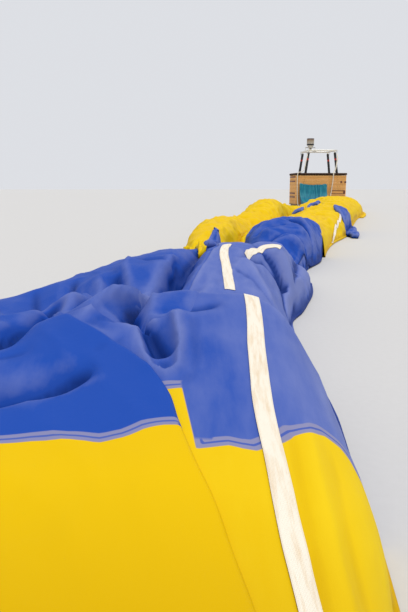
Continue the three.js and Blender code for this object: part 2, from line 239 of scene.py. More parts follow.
BLUE = (0.012, 0.062, 0.35)
BLUE_DUSTY = (0.155, 0.195, 0.44)
BLUE_SHADE = (0.002, 0.014, 0.11)
YELLOW = (0.69, 0.44, 0.0)
YELLOW_DUSTY = (0.74, 0.52, 0.010)
YELLOW_SHADE = (0.46, 0.26, 0.0)
SEAM_LILAC = (0.25, 0.24, 0.36)
SEAM_SHADE = (0.06, 0.10, 0.37)
ROPE_CREAM = (0.90, 0.84, 0.70)
ROPE_GRIME = (0.62, 0.52, 0.38)
ROPE_GROOVE_SHADE = (0.50, 0.42, 0.30)
TAPE_CREAM = (0.86, 0.79, 0.66)
TAPE_STAIN = (0.70, 0.50, 0.28)
TAPE_SELVEDGE = (0.66, 0.56, 0.42)
WILLOW_HONEY = (0.88, 0.50, 0.15)
WILLOW_TAN = (0.74, 0.38, 0.11)
WILLOW_DARK = (0.56, 0.28, 0.09)
WILLOW_FIBRE = (0.96, 0.68, 0.32)
SUEDE_DARK = (0.026, 0.011, 0.004)
SUEDE_WORN = (0.060, 0.030, 0.014)
SUEDE_TOP_HIGHLIGHT = (0.22, 0.22, 0.18)
SLEEVE_BLACK = (0.012, 0.012, 0.014)
SLEEVE_DUSTY = (0.050, 0.048, 0.046)
SLEEVE_RED = (0.50, 0.035, 0.020)
PLY_PALE = (0.36, 0.21, 0.10)
PLY_DARK = (0.20, 0.11, 0.05)
MUD = (0.30, 0.23, 0.15)
TEAL = (0.006, 0.165, 0.230)
TEAL_PALE = (0.060, 0.300, 0.345)
TEAL_SHADE = (0.002, 0.075, 0.150)
TEAL_HEM = (0.004, 0.100, 0.220)
FLOOR_PALE = (0.53, 0.52, 0.505)
FLOOR_FLECK = (0.56, 0.55, 0.535)
SEAM_WIDTH = 0.0240
STITCH_PLACE = 0.0110
STITCH_HALF = 0.0028
TAPE_WIDTH = 0.040
TAPE_EDGE = 0.0165
HEM_SHARE = 0.035


def cloth_finish(name):
    """Coated nylon: blue or yellow by the side attribute, with a stitched seam band where the two meet.
    Painted shade darkens its valleys and the near end of the yellow, and a painted highlight lightens its
    crests.
    """
    finish = Finish(name, roughness=0.62, specular_ior_level=0.06)
    place = finish.place()
    side = finish.attribute("yellow_side")
    crest = finish.attribute("crest")
    blotch = finish.noise(place, 1.7, 4.0, 0.6)
    streak = finish.noise(finish.scaled(place, (9.0, 1.3, 9.0)), 2.2, 4.0, 0.62)
    # The crest term lightens the tops of folds: partly wear, partly a painted highlight.
    dust = (finish.attribute("dust") + (blotch - 0.5) * 1.1 + (streak - 0.5) * 0.7 + crest * 0.45).held()
    # Painted shade: the valleys of the folds darken towards the shade colours.
    painted_valley_shade = (crest * -0.75 - 0.08).held()
    yellow = (side * 420.0 + 0.5).held()
    blue_color = finish.mix(painted_valley_shade, finish.mix(dust, BLUE, BLUE_DUSTY), BLUE_SHADE)
    # The yellow also takes the painted shadow, deepest at the near end of the heap.
    painted_yellow_shade = (painted_valley_shade + finish.attribute("shadow")).held()
    yellow_color = finish.mix(painted_yellow_shade, finish.mix(dust, YELLOW, YELLOW_DUSTY), YELLOW_SHADE)
    color = finish.mix(yellow, blue_color, yellow_color)
    band = ((side + SEAM_WIDTH) * 500.0).held() * (1.0 - yellow) * finish.attribute("banded")
    stitch = ((STITCH_HALF - abs(side + STITCH_PLACE)) * 900.0).held()
    color = finish.mix(band * 0.8, color, SEAM_LILAC)
    color = finish.mix(stitch * band, color, SEAM_SHADE)
    weave = finish.noise(place, 900.0, 1.0, 0.5)
    crinkle = finish.noise(finish.scaled(place, (11.0, 7.0, 11.0)), 1.0, 4.0, 0.5, 0.3)
    normal = finish.bump(crinkle, 0.010, 0.35, finish.bump(weave, 0.0004, 0.5))
    return finish.show(color, 0.55 + dust * 0.16, normal)


def tape_finish():
    """Woven load tape: fine lengthwise ribs, cream with tan streaks where it has rubbed."""
    finish = Finish("load_tape", roughness=0.75)
    run = finish.attribute("run")
    across = finish.attribute("across")
    stain = finish.patches(finish.plan(across * 26.0, run * 3.0), 3.0, 4.0, 0.65, 0.47, 3.6)
    color = finish.mix(stain * 0.8, TAPE_CREAM, TAPE_STAIN)
    edge = ((abs(across) - TAPE_EDGE) * 600.0).held()
    color = finish.mix(edge * 0.4, color, TAPE_SELVEDGE)
    rib = (across * 2600.0).wave()
    tooth = (run * 1800.0).wave()
    return finish.show(color, 0.72, finish.bump(rib * 0.6 + tooth * 0.4, 0.0006, 0.8))


def rope_finish():
    """Cream rope: short lays across it, greyed in patches, with painted shade in the grooves between the
    lays.
    """
    finish = Finish("cream_rope", roughness=0.85)
    grime = finish.patches(finish.place(), 16.0, 3.0, 0.6, 0.45, 3.0)
    lays = (finish.attribute("run") * 620.0).wave()
    color = finish.mix(grime * 0.7, ROPE_CREAM, ROPE_GRIME)
    # Painted shade in the grooves between the lays.
    color = finish.mix(((0.1 - lays) * 0.45).held(), color, ROPE_GROOVE_SHADE)
    return finish.show(color, 0.85, finish.bump(lays, 0.0010, 0.8))


def wicker_finish():
    """Peeled willow: honey and tan rods, some courses darker, with split fibres along each rod."""
    finish = Finish("willow", roughness=0.55)
    place = finish.place()
    level = finish.height() * (1.0 / COURSE) - 0.3
    course = level - level.part()
    tone = finish.patches(finish.plan(course * 3.71, course * 1.37), 1.0, 0.0, 0.5, 0.40, 4.0)
    patch = finish.noise(finish.scaled(place, (7.0, 7.0, 38.0)), 1.0, 3.0, 0.6)
    fibre = finish.noise(finish.scaled(place, (40.0, 40.0, 520.0)), 1.0, 2.0, 0.6)
    color = finish.mix(tone, WILLOW_HONEY, WILLOW_TAN)
    color = finish.mix(((patch - 0.58) * 4.0).held(), color, WILLOW_DARK)
    color = finish.mix(((fibre - 0.56) * 3.0).held(), color, WILLOW_FIBRE)
    return finish.show(color, 0.50 + patch * 0.2, finish.bump(fibre, 0.0008, 0.7))


def leather_finish(name, color):
    """Hide: fine grain, creases and paler scuffs."""
    finish = Finish(name, roughness=0.6)
    place = finish.place()
    grain = finish.node(
        "ShaderNodeTexVoronoi", {"feature": "DISTANCE_TO_EDGE"}, {"Vector": place, "Scale": 420.0},
    )
    wear = finish.patches(place, 22.0, 5.0, 0.65, 0.52, 5.0)
    pale = tuple(min(1.0, part * 2.4 + 0.03) for part in color)
    tint = finish.mix(wear * 0.45, color, pale)
    crease = finish.noise(place, 60.0, 3.0, 0.6)
    normal = finish.bump(crease, 0.002, 0.4, finish.bump(grain, 0.0006, 0.5))
    return finish.show(tint, 0.50 + wear * 0.22, normal)


def rim_finish():
    """Dark suede roll: near black brown, worn paler in patches where hands and ropes rub it, and greyed on
    top in those patches as a painted highlight.
    """
    finish = Finish("suede_rim", roughness=0.8, specular_ior_level=0.2)
    place = finish.place()
    top = ((finish.height() - (RIM_HEIGHT + RIM_RADIUS * 0.55)) * 60.0).held()
    wear = finish.patches(place, 11.0, 5.0, 0.65, 0.40, 3.0)
    color = finish.mix(wear, SUEDE_DARK, SUEDE_WORN)
    # Painted highlight: the top of the roll greys, in the worn patches.
    color = finish.mix(top * wear * 0.6, color, SUEDE_TOP_HIGHLIGHT)
    nap = finish.noise(place, 700.0, 2.0, 0.6)
    crease = finish.noise(finish.scaled(place, (30.0, 30.0, 60.0)), 1.0, 4.0, 0.6)
    normal = finish.bump(nap, 0.0006, 0.6, finish.bump(crease, 0.004, 0.5))
    return finish.show(color, 0.72 + wear * 0.15, normal)


def sleeve_finish():
    """Padded sleeve: black nylon, with one red band near the top of each."""
    finish = Finish("sleeve_nylon", roughness=0.7)
    place = finish.place()
    height = finish.height()
    red = (height > RED_BAND[0]) * (height < RED_BAND[1])
    dust = finish.patches(place, 9.0, 4.0, 0.6, 0.42, 3.0)
    cloth = finish.mix(dust, SLEEVE_BLACK, SLEEVE_DUSTY)
    color = finish.mix(red, cloth, SLEEVE_RED)
    weave = finish.noise(place, 1300.0, 1.0, 0.5)
    return finish.show(color, 0.62 + dust * 0.2, finish.bump(weave, 0.0004, 0.5))


def metal_finish(name, color, rough, metallic, stained=(0.25, 0.20, 0.15), stain=0.35):
    """Metal with fine brushing and a little staining."""
    finish = Finish(name, roughness=rough, metallic=metallic)
    place = finish.place()
    marks = finish.noise(finish.scaled(place, (1.0, 1.0, 60.0)), 14.0, 3.0, 0.6)
    spots = finish.patches(place, 26.0, 5.0, 0.65, 0.55, 5.0)
    tint = finish.mix(spots * stain, color, stained)
    return finish.show(tint, (marks - 0.5) * 0.25 + rough + spots * 0.12, finish.bump(marks, 0.0004, 0.35))


def heated_steel_finish():
    """Stainless can: straw and brown heat tint, deeper towards the mouth."""
    finish = Finish("heated_steel", roughness=0.35, metallic=0.75)
    place = finish.place()
    blotch = finish.noise(place, 9.0, 4.0, 0.6)
    heat = ((finish.height() - CAN_FOOT) * 5.0 + (blotch - 0.5) * 0.6).held()
    color = finish.node("ShaderNodeValToRGB", {"stops": (
        (0.0, (0.46, 0.43, 0.38)), (0.45, (0.42, 0.33, 0.22)),
        (0.75, (0.24, 0.16, 0.12)), (1.0, (0.15, 0.13, 0.15)),
    )}, {"Fac": heat})
    marks = finish.noise(finish.scaled(place, (60.0, 60.0, 6.0)), 2.0, 3.0, 0.6)
    return finish.show(color, (marks - 0.5) * 0.25 + 0.36, finish.bump(marks, 0.0005, 0.4))


def wood_finish():
    """Marine ply and hardwood runners: long grain, scuffed and muddy."""
    finish = Finish("scuffed_wood", roughness=0.75)
    place = finish.place()
    grain = finish.noise(finish.scaled(place, (2.5, 40.0, 40.0)), 2.0, 5.0, 0.6, 0.4)
    mud = finish.patches(place, 5.0, 5.0, 0.6, 0.50, 4.0)
    color = finish.mix(grain, PLY_PALE, PLY_DARK)
    color = finish.mix(mud * 0.6, color, MUD)
    return finish.show(color, 0.65 + mud * 0.2, finish.bump(grain, 0.001, 0.5))


def scoop_finish():
    """Teal nylon of the mouth scoop: creased, paler on the crests as a painted highlight with random
    blotches, darker in its hollows as painted shade, and a darker hem at its top.
    """
    finish = Finish("scoop_nylon", roughness=0.55, specular_ior_level=0.25)
    place = finish.place()
    crest = finish.attribute("crest")
    blotch = finish.noise(place, 4.0, 4.0, 0.6)
    # Painted highlight on crests that stand out, mixed with random paler blotches.
    pale = (crest * 0.5 + (blotch - 0.48) * 1.6).held()
    color = finish.mix(pale, TEAL, TEAL_PALE)
    # Painted shade in the hollows between the folds.
    color = finish.mix((crest * -0.9).held(), color, TEAL_SHADE)
    hem = (finish.attribute("fall") < HEM_SHARE) * 0.6
    color = finish.mix(hem, color, TEAL_HEM)
    weave = finish.noise(place, 900.0, 1.0, 0.5)
    crinkle = finish.noise(finish.scaled(place, (16.0, 9.0, 12.0)), 1.0, 4.0, 0.55, 0.4)
    normal = finish.bump(crinkle, 0.012, 0.5, finish.bump(weave, 0.0004, 0.4))
    return finish.show(color, 0.52 + blotch * 0.1, normal)


def floor_finish():
    """Pale studio floor."""
    finish = Finish("pale_floor", roughness=0.9)
    grain = finish.noise(finish.place(), 40.0, 2.0)
    return finish.show(finish.mix(grain, FLOOR_PALE, FLOOR_FLECK))


# Cloth, laid in plan beside the lay line: across is to the right of the line, along runs with it

ALONG = np.array((-math.sin(LAY_TURN), math.cos(LAY_TURN)))
ACROSS = np.array((math.cos(LAY_TURN), math.sin(LAY_TURN)))
TINY = 1e-9


def to_world(across, along, height):
    """Points of the object's frame from places beside the lay line."""
    across, along, height = (np.asarray(values)[..., None] for values in (across, along, height))
    return np.concatenate([np.asarray(LAY_START) + across * ACROSS + along * ALONG, height], axis=-1)


def run_lengths(points):
    """The length run along a line up to each of its points."""
    return np.concatenate([[0.0], np.cumsum(np.linalg.norm(np.diff(points, axis=0), axis=1))])


def read_table(table, places):
    """The columns of a table at any place of its first column, joined by smooth curves."""
    table = np.asarray(table, float)
    stations, values = table[:, 0], table[:, 1:]
    slopes = np.gradient(values, stations, axis=0)
    index = np.clip(np.searchsorted(stations, places) - 1, 0, len(stations) - 2)
    step = (stations[index + 1] - stations[index])[:, None]
    part = np.clip((places - stations[index])[:, None] / step, 0.0, 1.0)
    rest = 1.0 - part
    return (values[index] * (1.0 + 2.0 * part) * rest ** 2
            + slopes[index] * step * part * rest ** 2
            + values[index + 1] * (3.0 - 2.0 * part) * part ** 2
            - slopes[index + 1] * step * rest * part ** 2)


def smooth_noise(points, size, seed):
    """Gradient noise from -1 to 1 at points of three numbers, with lumps about size across."""
    dice = np.random.default_rng(seed)
    order = dice.permutation(256)
    slopes = dice.normal(size=(256, 3))
    slopes /= np.linalg.norm(slopes, axis=1, keepdims=True)
    scaled = np.asarray(points) / size
    cell = np.floor(scaled).astype(int)
    inside = scaled - cell
    fade = inside ** 3 * (inside * (inside * 6.0 - 15.0) + 10.0)
    total = np.zeros(len(scaled))
    for corner in np.ndindex(2, 2, 2):
        corner = np.array(corner)
        x, y, z = ((cell + corner) & 255).T
        slope = slopes[order[(order[(order[x] + y) & 255] + z) & 255]]
        weight = np.prod(np.where(corner == 1, fade, 1.0 - fade), axis=1)
        total += weight * np.einsum("ij,ij->i", slope, inside - corner)
    return total * 1.6


def creases(points, size, stretch, turn, seed):
    """Long rounded ridges with narrow valleys, 0 to 1, running at a turn from the lay line."""
    across, along, height = np.asarray(points).T
    c, s = math.cos(turn), math.sin(turn)
    run = (along * c + across * s) / stretch
    over = across * c - along * s
    warp = smooth_noise(np.stack([over, run, height], 1), size * 1.7, seed + 9) * size * 0.7
    first = smooth_noise(np.stack([over + warp, run, height], 1), size, seed)
    second = smooth_noise(np.stack([over + warp, run, height], 1), size * 0.45, seed + 3)
    ridge = 1.0 - np.sqrt(first ** 2 + 0.004)
    small = 1.0 - np.sqrt(second ** 2 + 0.006)
    return 0.75 * ridge ** 2 + 0.25 * small ** 2


# Each bed is the body of one heap:
# along, left foot, crest, right foot, height, left fullness, right fullness (the smaller, the boxier)
MAIN_BED = (
    (-1.92, -0.60, -0.33, -0.06, 0.03, 0.40, 0.50),
    (-1.80, -0.66, -0.33, -0.02, 0.08, 0.36, 0.50),
    (-1.40, -0.88, -0.39, 0.08, 0.13, 0.36, 0.50),
    (-0.70, -1.12, -0.40, 0.17, 0.15, 0.36, 0.50),
    (0.00, -1.24, -0.35, 0.22, 0.155, 0.36, 0.50),
    (0.50, -1.31, -0.25, 0.250, 0.165, 0.40, 0.50),
    (0.70, -1.33, -0.20, 0.268, 0.195, 0.42, 0.50),
    (0.85, -1.35, -0.12, 0.300, 0.230, 0.43, 0.50),
    (1.00, -1.365, -0.06, 0.318, 0.262, 0.45, 0.55),
    (1.15, -1.37, -0.03, 0.325, 0.295, 0.48, 0.62),
    (1.30, -1.38, 0.00, 0.340, 0.322, 0.50, 0.75),
    (1.55, -1.38, 0.05, 0.365, 0.345, 0.60, 1.10),
    (1.80, -1.38, 0.05, 0.374, 0.305, 0.85, 1.30),
    (2.10, -1.36, 0.05, 0.380, 0.237, 0.80, 1.20),
    (2.45, -1.30, 0.07, 0.382, 0.315, 0.98, 1.10),
    (2.80, -1.20, 0.10, 0.400, 0.352, 1.40, 0.90),
    (3.10, -1.10, 0.12, 0.450, 0.345, 1.25, 0.80),
    (3.50, -1.00, 0.15, 0.560, 0.290, 0.90, 0.70),
    (4.00, -0.86, 0.18, 0.700, 0.195, 0.80, 0.70),
    (4.60, -0.68, 0.15, 0.780, 0.125, 0.70, 0.70),
    (5.20, -0.52, 0.15, 0.950, 0.080, 0.60, 0.70),
    (5.80, -0.38, 0.20, 0.980, 0.060, 0.60, 0.70),
    (6.30, -0.15, 0.30, 0.900, 0.040, 0.60, 0.70),
)
TAPE_BED = (
    (2.92, 0.14, 0.35, 0.45, 0.18, 0.35, 0.50),
    (2.97, 0.12, 0.35, 0.46, 0.30, 0.35, 0.55),
    (3.03, 0.11, 0.35, 0.47, 0.340, 0.35, 0.60),
    (3.12, 0.11, 0.35, 0.49, 0.348, 0.35, 0.60),
    (3.30, 0.13, 0.36, 0.52, 0.335, 0.40, 0.60),
    (3.60, 0.16, 0.38, 0.58, 0.290, 0.45, 0.60),
    (4.00, 0.20, 0.44, 0.66, 0.210, 0.50, 0.60),
    (4.40, 0.25, 0.55, 0.76, 0.100, 0.50, 0.50),
)
SIDE_BED = (
    (2.62, 0.30, 0.35, 0.385, 0.02, 0.50, 0.50),
    (2.74, 0.25, 0.36, 0.405, 0.08, 0.50, 0.50),
    (2.86, 0.22, 0.38, 0.430, 0.12, 0.50, 0.50),
    (3.00, 0.20, 0.41, 0.490, 0.15, 0.50, 0.50),
    (3.20, 0.20, 0.45, 0.555, 0.16, 0.50, 0.50),
    (3.60, 0.25, 0.52, 0.655, 0.16, 0.50, 0.50),
    (4.00, 0.30, 0.55, 0.720, 0.12, 0.50, 0.50),
)
LEFT_BED = (
    (3.95, -0.13, -0.06, 0.02, 0.06, 0.50, 0.60),
    (4.25, -0.155, -0.04, 0.08, 0.19, 0.45, 0.60),
    (4.70, -0.160, 0.00, 0.20, 0.29, 0.42, 0.60),
    (5.20, -0.150, 0.05, 0.32, 0.32, 0.42, 0.60),
    (5.80, -0.120, 0.12, 0.42, 0.325, 0.42, 0.60),
    (6.40, -0.040, 0.21, 0.54, 0.305, 0.42, 0.60),
    (7.20, 0.08, 0.36, 0.72, 0.27, 0.60, 0.60),
    (7.70, 0.22, 0.60, 0.90, 0.31, 0.90, 0.60),
    (8.20, 0.36, 0.78, 1.06, 0.38, 0.90, 0.60),
    (8.80, 0.45, 0.86, 1.16, 0.415, 0.70, 0.60),
    (10.00, 0.74, 1.10, 1.38, 0.410, 0.50, 0.50),
    (11.20, 1.08, 1.45, 1.82, 0.285, 0.45, 0.60),
    (12.30, 1.45, 1.85, 2.28, 0.230, 0.45, 0.60),
    (13.20, 1.80, 2.20, 2.60, 0.140, 0.45, 0.60),
)
RIGHT_BED = (
    (4.35, 0.44, 0.56, 0.70, 0.06, 0.70, 0.50),
    (4.75, 0.33, 0.62, 0.84, 0.28, 0.70, 0.45),
    (5.20, 0.26, 0.68, 1.01, 0.345, 0.70, 0.42),
    (5.70, 0.28, 0.78, 1.16, 0.33, 0.70, 0.42),
    (6.20, 0.40, 0.88, 1.28, 0.305, 0.70, 0.42),
    (7.00, 0.62, 1.10, 1.50, 0.285, 0.70, 0.42),
    (7.80, 0.82, 1.38, 1.82, 0.29, 0.70, 0.42),
    (8.80, 1.12, 1.68, 2.15, 0.33, 0.70, 0.42),
    (10.00, 1.52, 2.05, 2.46, 0.37, 0.70, 0.42),
    (11.20, 1.88, 2.40, 2.80, 0.40, 0.70, 0.42),
    (12.50, 1.90, 2.66, 3.18, 0.39, 0.70, 0.45),
    (14.00, 2.10, 2.86, 3.66, 0.39, 0.60, 0.45),
    (15.50, 2.60, 3.32, 4.06, 0.38, 0.50, 0.45),
    (16.50, 2.90, 3.58, 4.25, 0.32, 0.50, 0.45),
    (17.50, 3.18, 3.78, 4.37, 0.26, 0.45, 0.45),
    (18.80, 3.36, 3.88, 4.39, 0.20, 0.42, 0.42),
    (20.00, 3.42, 3.90, 4.36, 0.115, 0.42, 0.42),
    (20.12, 3.42, 3.90, 4.36, 0.09, 0.42, 0.42),
)
HEAP_BEDS = (MAIN_BED, TAPE_BED, SIDE_BED, LEFT_BED, RIGHT_BED)

# Folds that lift or sink the heap:
# line of (across, along), rise, width on the line's left, width on its right,
# and roundness (the smaller, the sharper)
FOLDS = (
    # near hump, its far edge and the hollow before it
    (((-0.20, 1.62), (-0.13, 1.62), (-0.02, 1.60), (0.10, 1.57), (0.18, 1.545), (0.26, 1.49)),
     0.018, 0.035, 0.10, 1.4),
    (((-0.17, 1.78), (-0.14, 1.60), (-0.125, 1.46)), 0.020, 0.012, 0.030, 1.3),
    (((-0.13, 1.43), (-0.05, 1.46), (0.05, 1.50)), -0.016, 0.03, 0.03, 1.4),
    # soft fold down to the strip of yellow
    (((-0.065, 1.50), (-0.053, 1.30), (-0.050, 1.10)), 0.012, 0.022, 0.020, 1.6),
    # cup, the slot behind it and its rim
    (((-0.140, 1.40), (-0.120, 1.32), (-0.098, 1.24), (-0.082, 1.17)), -0.048, 0.024, 0.024, 1.3),
    (((-0.190, 1.50), (-0.165, 1.44), (-0.140, 1.37)), -0.060, 0.014, 0.014, 1.1),
    (((-0.160, 1.40), (-0.146, 1.30), (-0.124, 1.18), (-0.102, 1.12), (-0.073, 1.095), (-0.050, 1.12),
      (-0.052, 1.22), (-0.071, 1.37), (-0.090, 1.49)), 0.018, 0.010, 0.016, 1.1),
    # crevice that runs away from the cup
    (((-0.200, 1.37), (-0.185, 1.60), (-0.165, 1.87), (-0.150, 2.16), (-0.135, 2.40), (-0.120, 2.65)),
     -0.120, 0.026, 0.024, 1.1),
    # long ridges on the left, beyond the near flap
    (((-0.300, 1.33), (-0.226, 1.66), (-0.195, 1.98), (-0.150, 2.48), (-0.130, 2.75)),
     0.062, 0.070, 0.018, 1.1),
    (((-0.36, 1.42), (-0.37, 1.90), (-0.39, 2.20), (-0.44, 2.50)), 0.034, 0.05, 0.03, 1.1),
    (((-0.325, 1.44), (-0.310, 1.70), (-0.314, 1.98), (-0.35, 2.40)), -0.070, 0.024, 0.028, 1.05),
    (((-0.56, 1.24), (-0.46, 1.30), (-0.41, 1.42), (-0.42, 1.62)), -0.076, 0.022, 0.04, 1.1),
    (((-0.49, 1.60), (-0.44, 1.70), (-0.39, 1.80)), -0.070, 0.024, 0.020, 1.2),
    (((-0.50, 1.46), (-0.56, 1.80), (-0.62, 2.15), (-0.72, 2.50)), -0.045, 0.050, 0.060, 1.2),
    (((-0.46, 1.70), (-0.50, 2.10), (-0.56, 2.60)), -0.040, 0.035, 0.035, 1.3),
    (((-0.60, 1.40), (-0.74, 1.90), (-0.90, 2.40)), 0.050, 0.09, 0.07, 1.4),
    (((-0.26, 2.10), (-0.34, 2.50), (-0.36, 2.90)), 0.030, 0.030, 0.060, 1.2),
    (((-0.35, 2.90), (-0.30, 2.75), (-0.20, 2.60), (-0.15, 2.54)), -0.030, 0.030, 0.030, 1.3),
    # crest of the near flap and the trough below it
    (((-0.75, 1.40), (-0.50, 1.36), (-0.330, 1.350), (-0.254, 1.290), (-0.187, 1.255)),
     0.024, 0.035, 0.10, 1.5),
    (((-0.62, 1.01), (-0.45, 1.030), (-0.342, 1.053), (-0.294, 1.078), (-0.21, 1.125)),
     -0.090, 0.030, 0.022, 1.2),
    (((-0.60, 1.22), (-0.48, 1.19), (-0.36, 1.21)), -0.014, 0.030, 0.030, 1.4),
    # right of the tape
    (((0.153, 1.02), (0.150, 0.88), (0.152, 0.70), (0.150, 0.40)), -0.009, 0.016, 0.022, 1.6),
    (((0.192, 1.04), (0.186, 0.85), (0.188, 0.60)), 0.008, 0.018, 0.020, 1.6),
    (((0.226, 1.00), (0.214, 0.80), (0.21, 0.60)), -0.006, 0.016, 0.016, 1.6),
    # second hump and the hollow on its left
    (((0.146, 2.80), (0.205, 2.46), (0.26, 2.30), (0.30, 2.22)), 0.016, 0.03, 0.04, 1.4),
    (((0.03, 2.80), (-0.01, 2.45), (-0.06, 2.22)), 0.020, 0.04, 0.03, 1.4),
    (((-0.02, 3.50), (-0.03, 3.10), (-0.055, 2.80), (-0.09, 2.50), (-0.15, 2.20)), -0.085, 0.050, 0.045, 1.4),
    (((0.15, 2.56), (0.21, 2.70), (0.28, 2.85), (0.36, 2.90), (0.46, 2.89)), -0.035, 0.016, 0.035, 1.1),
    (((0.10, 2.44), (0.20, 2.34), (0.28, 2.22)), -0.010, 0.020, 0.025, 1.3),
    # roll that carries the tape across, and the pouch at its right
    (((0.50, 3.30), (0.56, 3.34), (0.64, 3.30)), -0.080, 0.045, 0.045, 1.2),
    (((0.39, 2.70), (0.42, 2.90), (0.49, 3.10), (0.58, 3.30)), 0.020, 0.025, 0.040, 1.2),
    # sweeping folds of the blue mound
    (((0.38, 4.52), (0.52, 4.68), (0.63, 4.75), (0.74, 4.76), (0.84, 4.70), (0.92, 4.56)),
     -0.085, 0.040, 0.020, 1.0),
    (((0.38, 4.42), (0.52, 4.56), (0.64, 4.62), (0.76, 4.62), (0.86, 4.54)), 0.040, 0.040, 0.050, 1.3),
    (((0.42, 4.90), (0.56, 5.05), (0.70, 5.10)), -0.050, 0.040, 0.020, 1.0),
    (((0.36, 5.35), (0.50, 5.50), (0.62, 5.30), (0.74, 5.45)), -0.045, 0.030, 0.030, 1.0),
    (((0.70, 5.35), (0.86, 5.20), (0.98, 4.95), (1.02, 4.75)), 0.045, 0.060, 0.040, 1.3),
    (((0.60, 5.60), (0.74, 5.30), (0.88, 5.02), (0.94, 4.80)), -0.055, 0.035, 0.025, 1.0),
)


def polyline_reach(line, across, along):
    """Distance to a line in plan, positive on its left, and how far along it the nearest point is, 0 to 1."""
    line = np.asarray(line, float)
    spans = np.diff(line, axis=0)
    lengths = np.hypot(*spans.T)
    starts = np.concatenate([[0.0], np.cumsum(lengths)[:-1]])
    best = np.full(len(across), np.inf)
    square, side, reach = np.zeros((3, len(across)))
    for start, span, length, run in zip(line[:-1], spans, lengths, starts):
        offset = np.stack([across - start[0], along - start[1]], 1)
        part = np.clip(offset @ span / length ** 2, 0.0, 1.0)
        distance = np.hypot(*(offset - part[:, None] * span).T)
        turn = (span[0] * offset[:, 1] - span[1] * offset[:, 0]) / length
        tied = (np.abs(distance - best) < TINY) & (np.abs(turn) > square)
        nearer = (distance < best - TINY) | tied
        best = np.where(nearer, distance, best)
        square = np.where(nearer, np.abs(turn), square)
        side = np.where(nearer, np.where(turn >= 0.0, 1.0, -1.0), side)
        reach = np.where(nearer, run + part * length, reach)
    return best * side, reach / lengths.sum()


def bed_height(bed, across, along):
    """Height of one bed at places in plan, and 0 before its first row and past its last."""
    left, crest, right, height, left_power, right_power = read_table(bed, along).T
    on_left = across < crest
    offset = np.where(on_left, (crest - across) / (crest - left), (across - crest) / (right - crest))
    power = np.where(on_left, left_power, right_power)
    shape = np.where(on_left, 2.0, 3.0)
    rise = height * np.clip(1.0 - offset ** shape, 0.0, 1.0) ** power
    return np.where((along < bed[0][0]) | (along > bed[-1][0]), 0.0, rise)


# Roughness of the heap: places along, and how deep its creases are there
ROUGH_ALONG = (-2.0, 0.0, 1.2, 2.0, 3.0, 5.0, 7.0)
ROUGH_DEPTH = (0.03, 0.010, 0.004, 0.006, 0.012, 0.045, 0.075)
CREASE_MIDDLE = 0.62
# Height of the heap from which its folds have their full rise
FULL_BODY = 0.10


def heap_top(across, along):
    """Height of the laid heap under the cloth at places in plan."""
    across, along = np.ravel(across), np.ravel(along)
    height = np.max([bed_height(bed, across, along) for bed in HEAP_BEDS], axis=0)
    body = np.clip(height / FULL_BODY, 0.0, 1.0)
    for line, rise, left_width, right_width, roundness in FOLDS:
        distance, reach = polyline_reach(line, across, along)
        width = np.where(distance > 0.0, left_width, right_width)
        ends = np.clip(np.minimum(reach, 1.0 - reach) * 4.0, 0.0, 1.0)
        height += body * rise * ends * (2.0 - ends) * np.exp(-np.abs(distance / width) ** roundness)
    points = np.stack([across, along, np.zeros_like(across)], 1)
    rough = np.interp(along, ROUGH_ALONG, ROUGH_DEPTH)
    height += body * rough * (creases(points, 0.34, 1.9, 0.25, 4) - CREASE_MIDDLE)
    return np.maximum(height, 0.0)


EDGE_FOLD = 7
TUCK_WIDTH = 0.06
EDGE_MARGIN = 0.008


def edge_steps(kind, lift):
    """How an edge is finished, from its hidden end inwards.

    Each step is its inset from the edge, its height over the heap, and whether it is tucked under.
    """
    if kind == "under":
        return [(0.0, -0.030, False), (0.02, -0.015, False), (0.045, lift * 0.6, False)]
    radius = lift / 2.0
    steps = [(TUCK_WIDTH, 0.001, True), (TUCK_WIDTH / 2.0, 0.001, True)]
    for index in range(EDGE_FOLD):
        angle = math.pi * (index / (EDGE_FOLD - 1) - 0.5)
        steps.append((radius - radius * math.cos(angle), radius + radius * math.sin(angle), angle < -0.3))
    return steps


def grid_line(count, first, last, lift):
    """Places over a width: fixed insets at both edges and an even share between them."""
    start = [(inset, 0.0, height, tucked) for inset, height, tucked in edge_steps(first, lift)]
    end = [(-inset, 1.0, height, tucked) for inset, height, tucked in reversed(edge_steps(last, lift))]
    low, high = start[-1][0] + EDGE_MARGIN, end[0][0] - EDGE_MARGIN
    middle = [(low * (1.0 - part) + high * part, part, lift, False)
              for part in (index / (count - 1) for index in range(count))]
    return [np.array(column, float) for column in zip(*(start + middle + end))]


def smooth_all(mesh):
    mesh.polygons.foreach_set("use_smooth", np.ones(len(mesh.polygons), bool))


def grid_mesh(name, points):
    """A mesh from a grid of points, rows by columns, facing up."""
    rows, columns = points.shape[:2]
    index = np.arange(rows * columns).reshape(rows, columns)
    quads = np.stack([index[:-1, :-1], index[:-1, 1:], index[1:, 1:], index[1:, :-1]], -1).reshape(-1, 4)
    mesh = bpy.data.meshes.new(name)
    mesh.vertices.add(rows * columns)
    mesh.vertices.foreach_set("co", points.reshape(-1).astype(np.float32))
    mesh.loops.add(quads.size)
    mesh.loops.foreach_set("vertex_index", quads.reshape(-1).astype(np.int32))
    mesh.polygons.add(len(quads))
    mesh.polygons.foreach_set("loop_start", np.arange(0, quads.size, 4, dtype=np.int32))
    smooth_all(mesh)
    mesh.update(calc_edges=True)
    return add_object(name, mesh)


def give_attribute(piece, name, values):
    layer = piece.data.attributes.new(name, "FLOAT", "POINT")
    layer.data.foreach_set("value", np.ravel(values).astype(np.float32))


def dress(piece, finish, body="root", nodes=()):
    """Give a piece its finish, its body and the nodes that it stands for."""
    piece.data.materials.clear()
    piece.data.materials.append(finish)
    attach(piece, body)
    if nodes:
        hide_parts(*nodes)


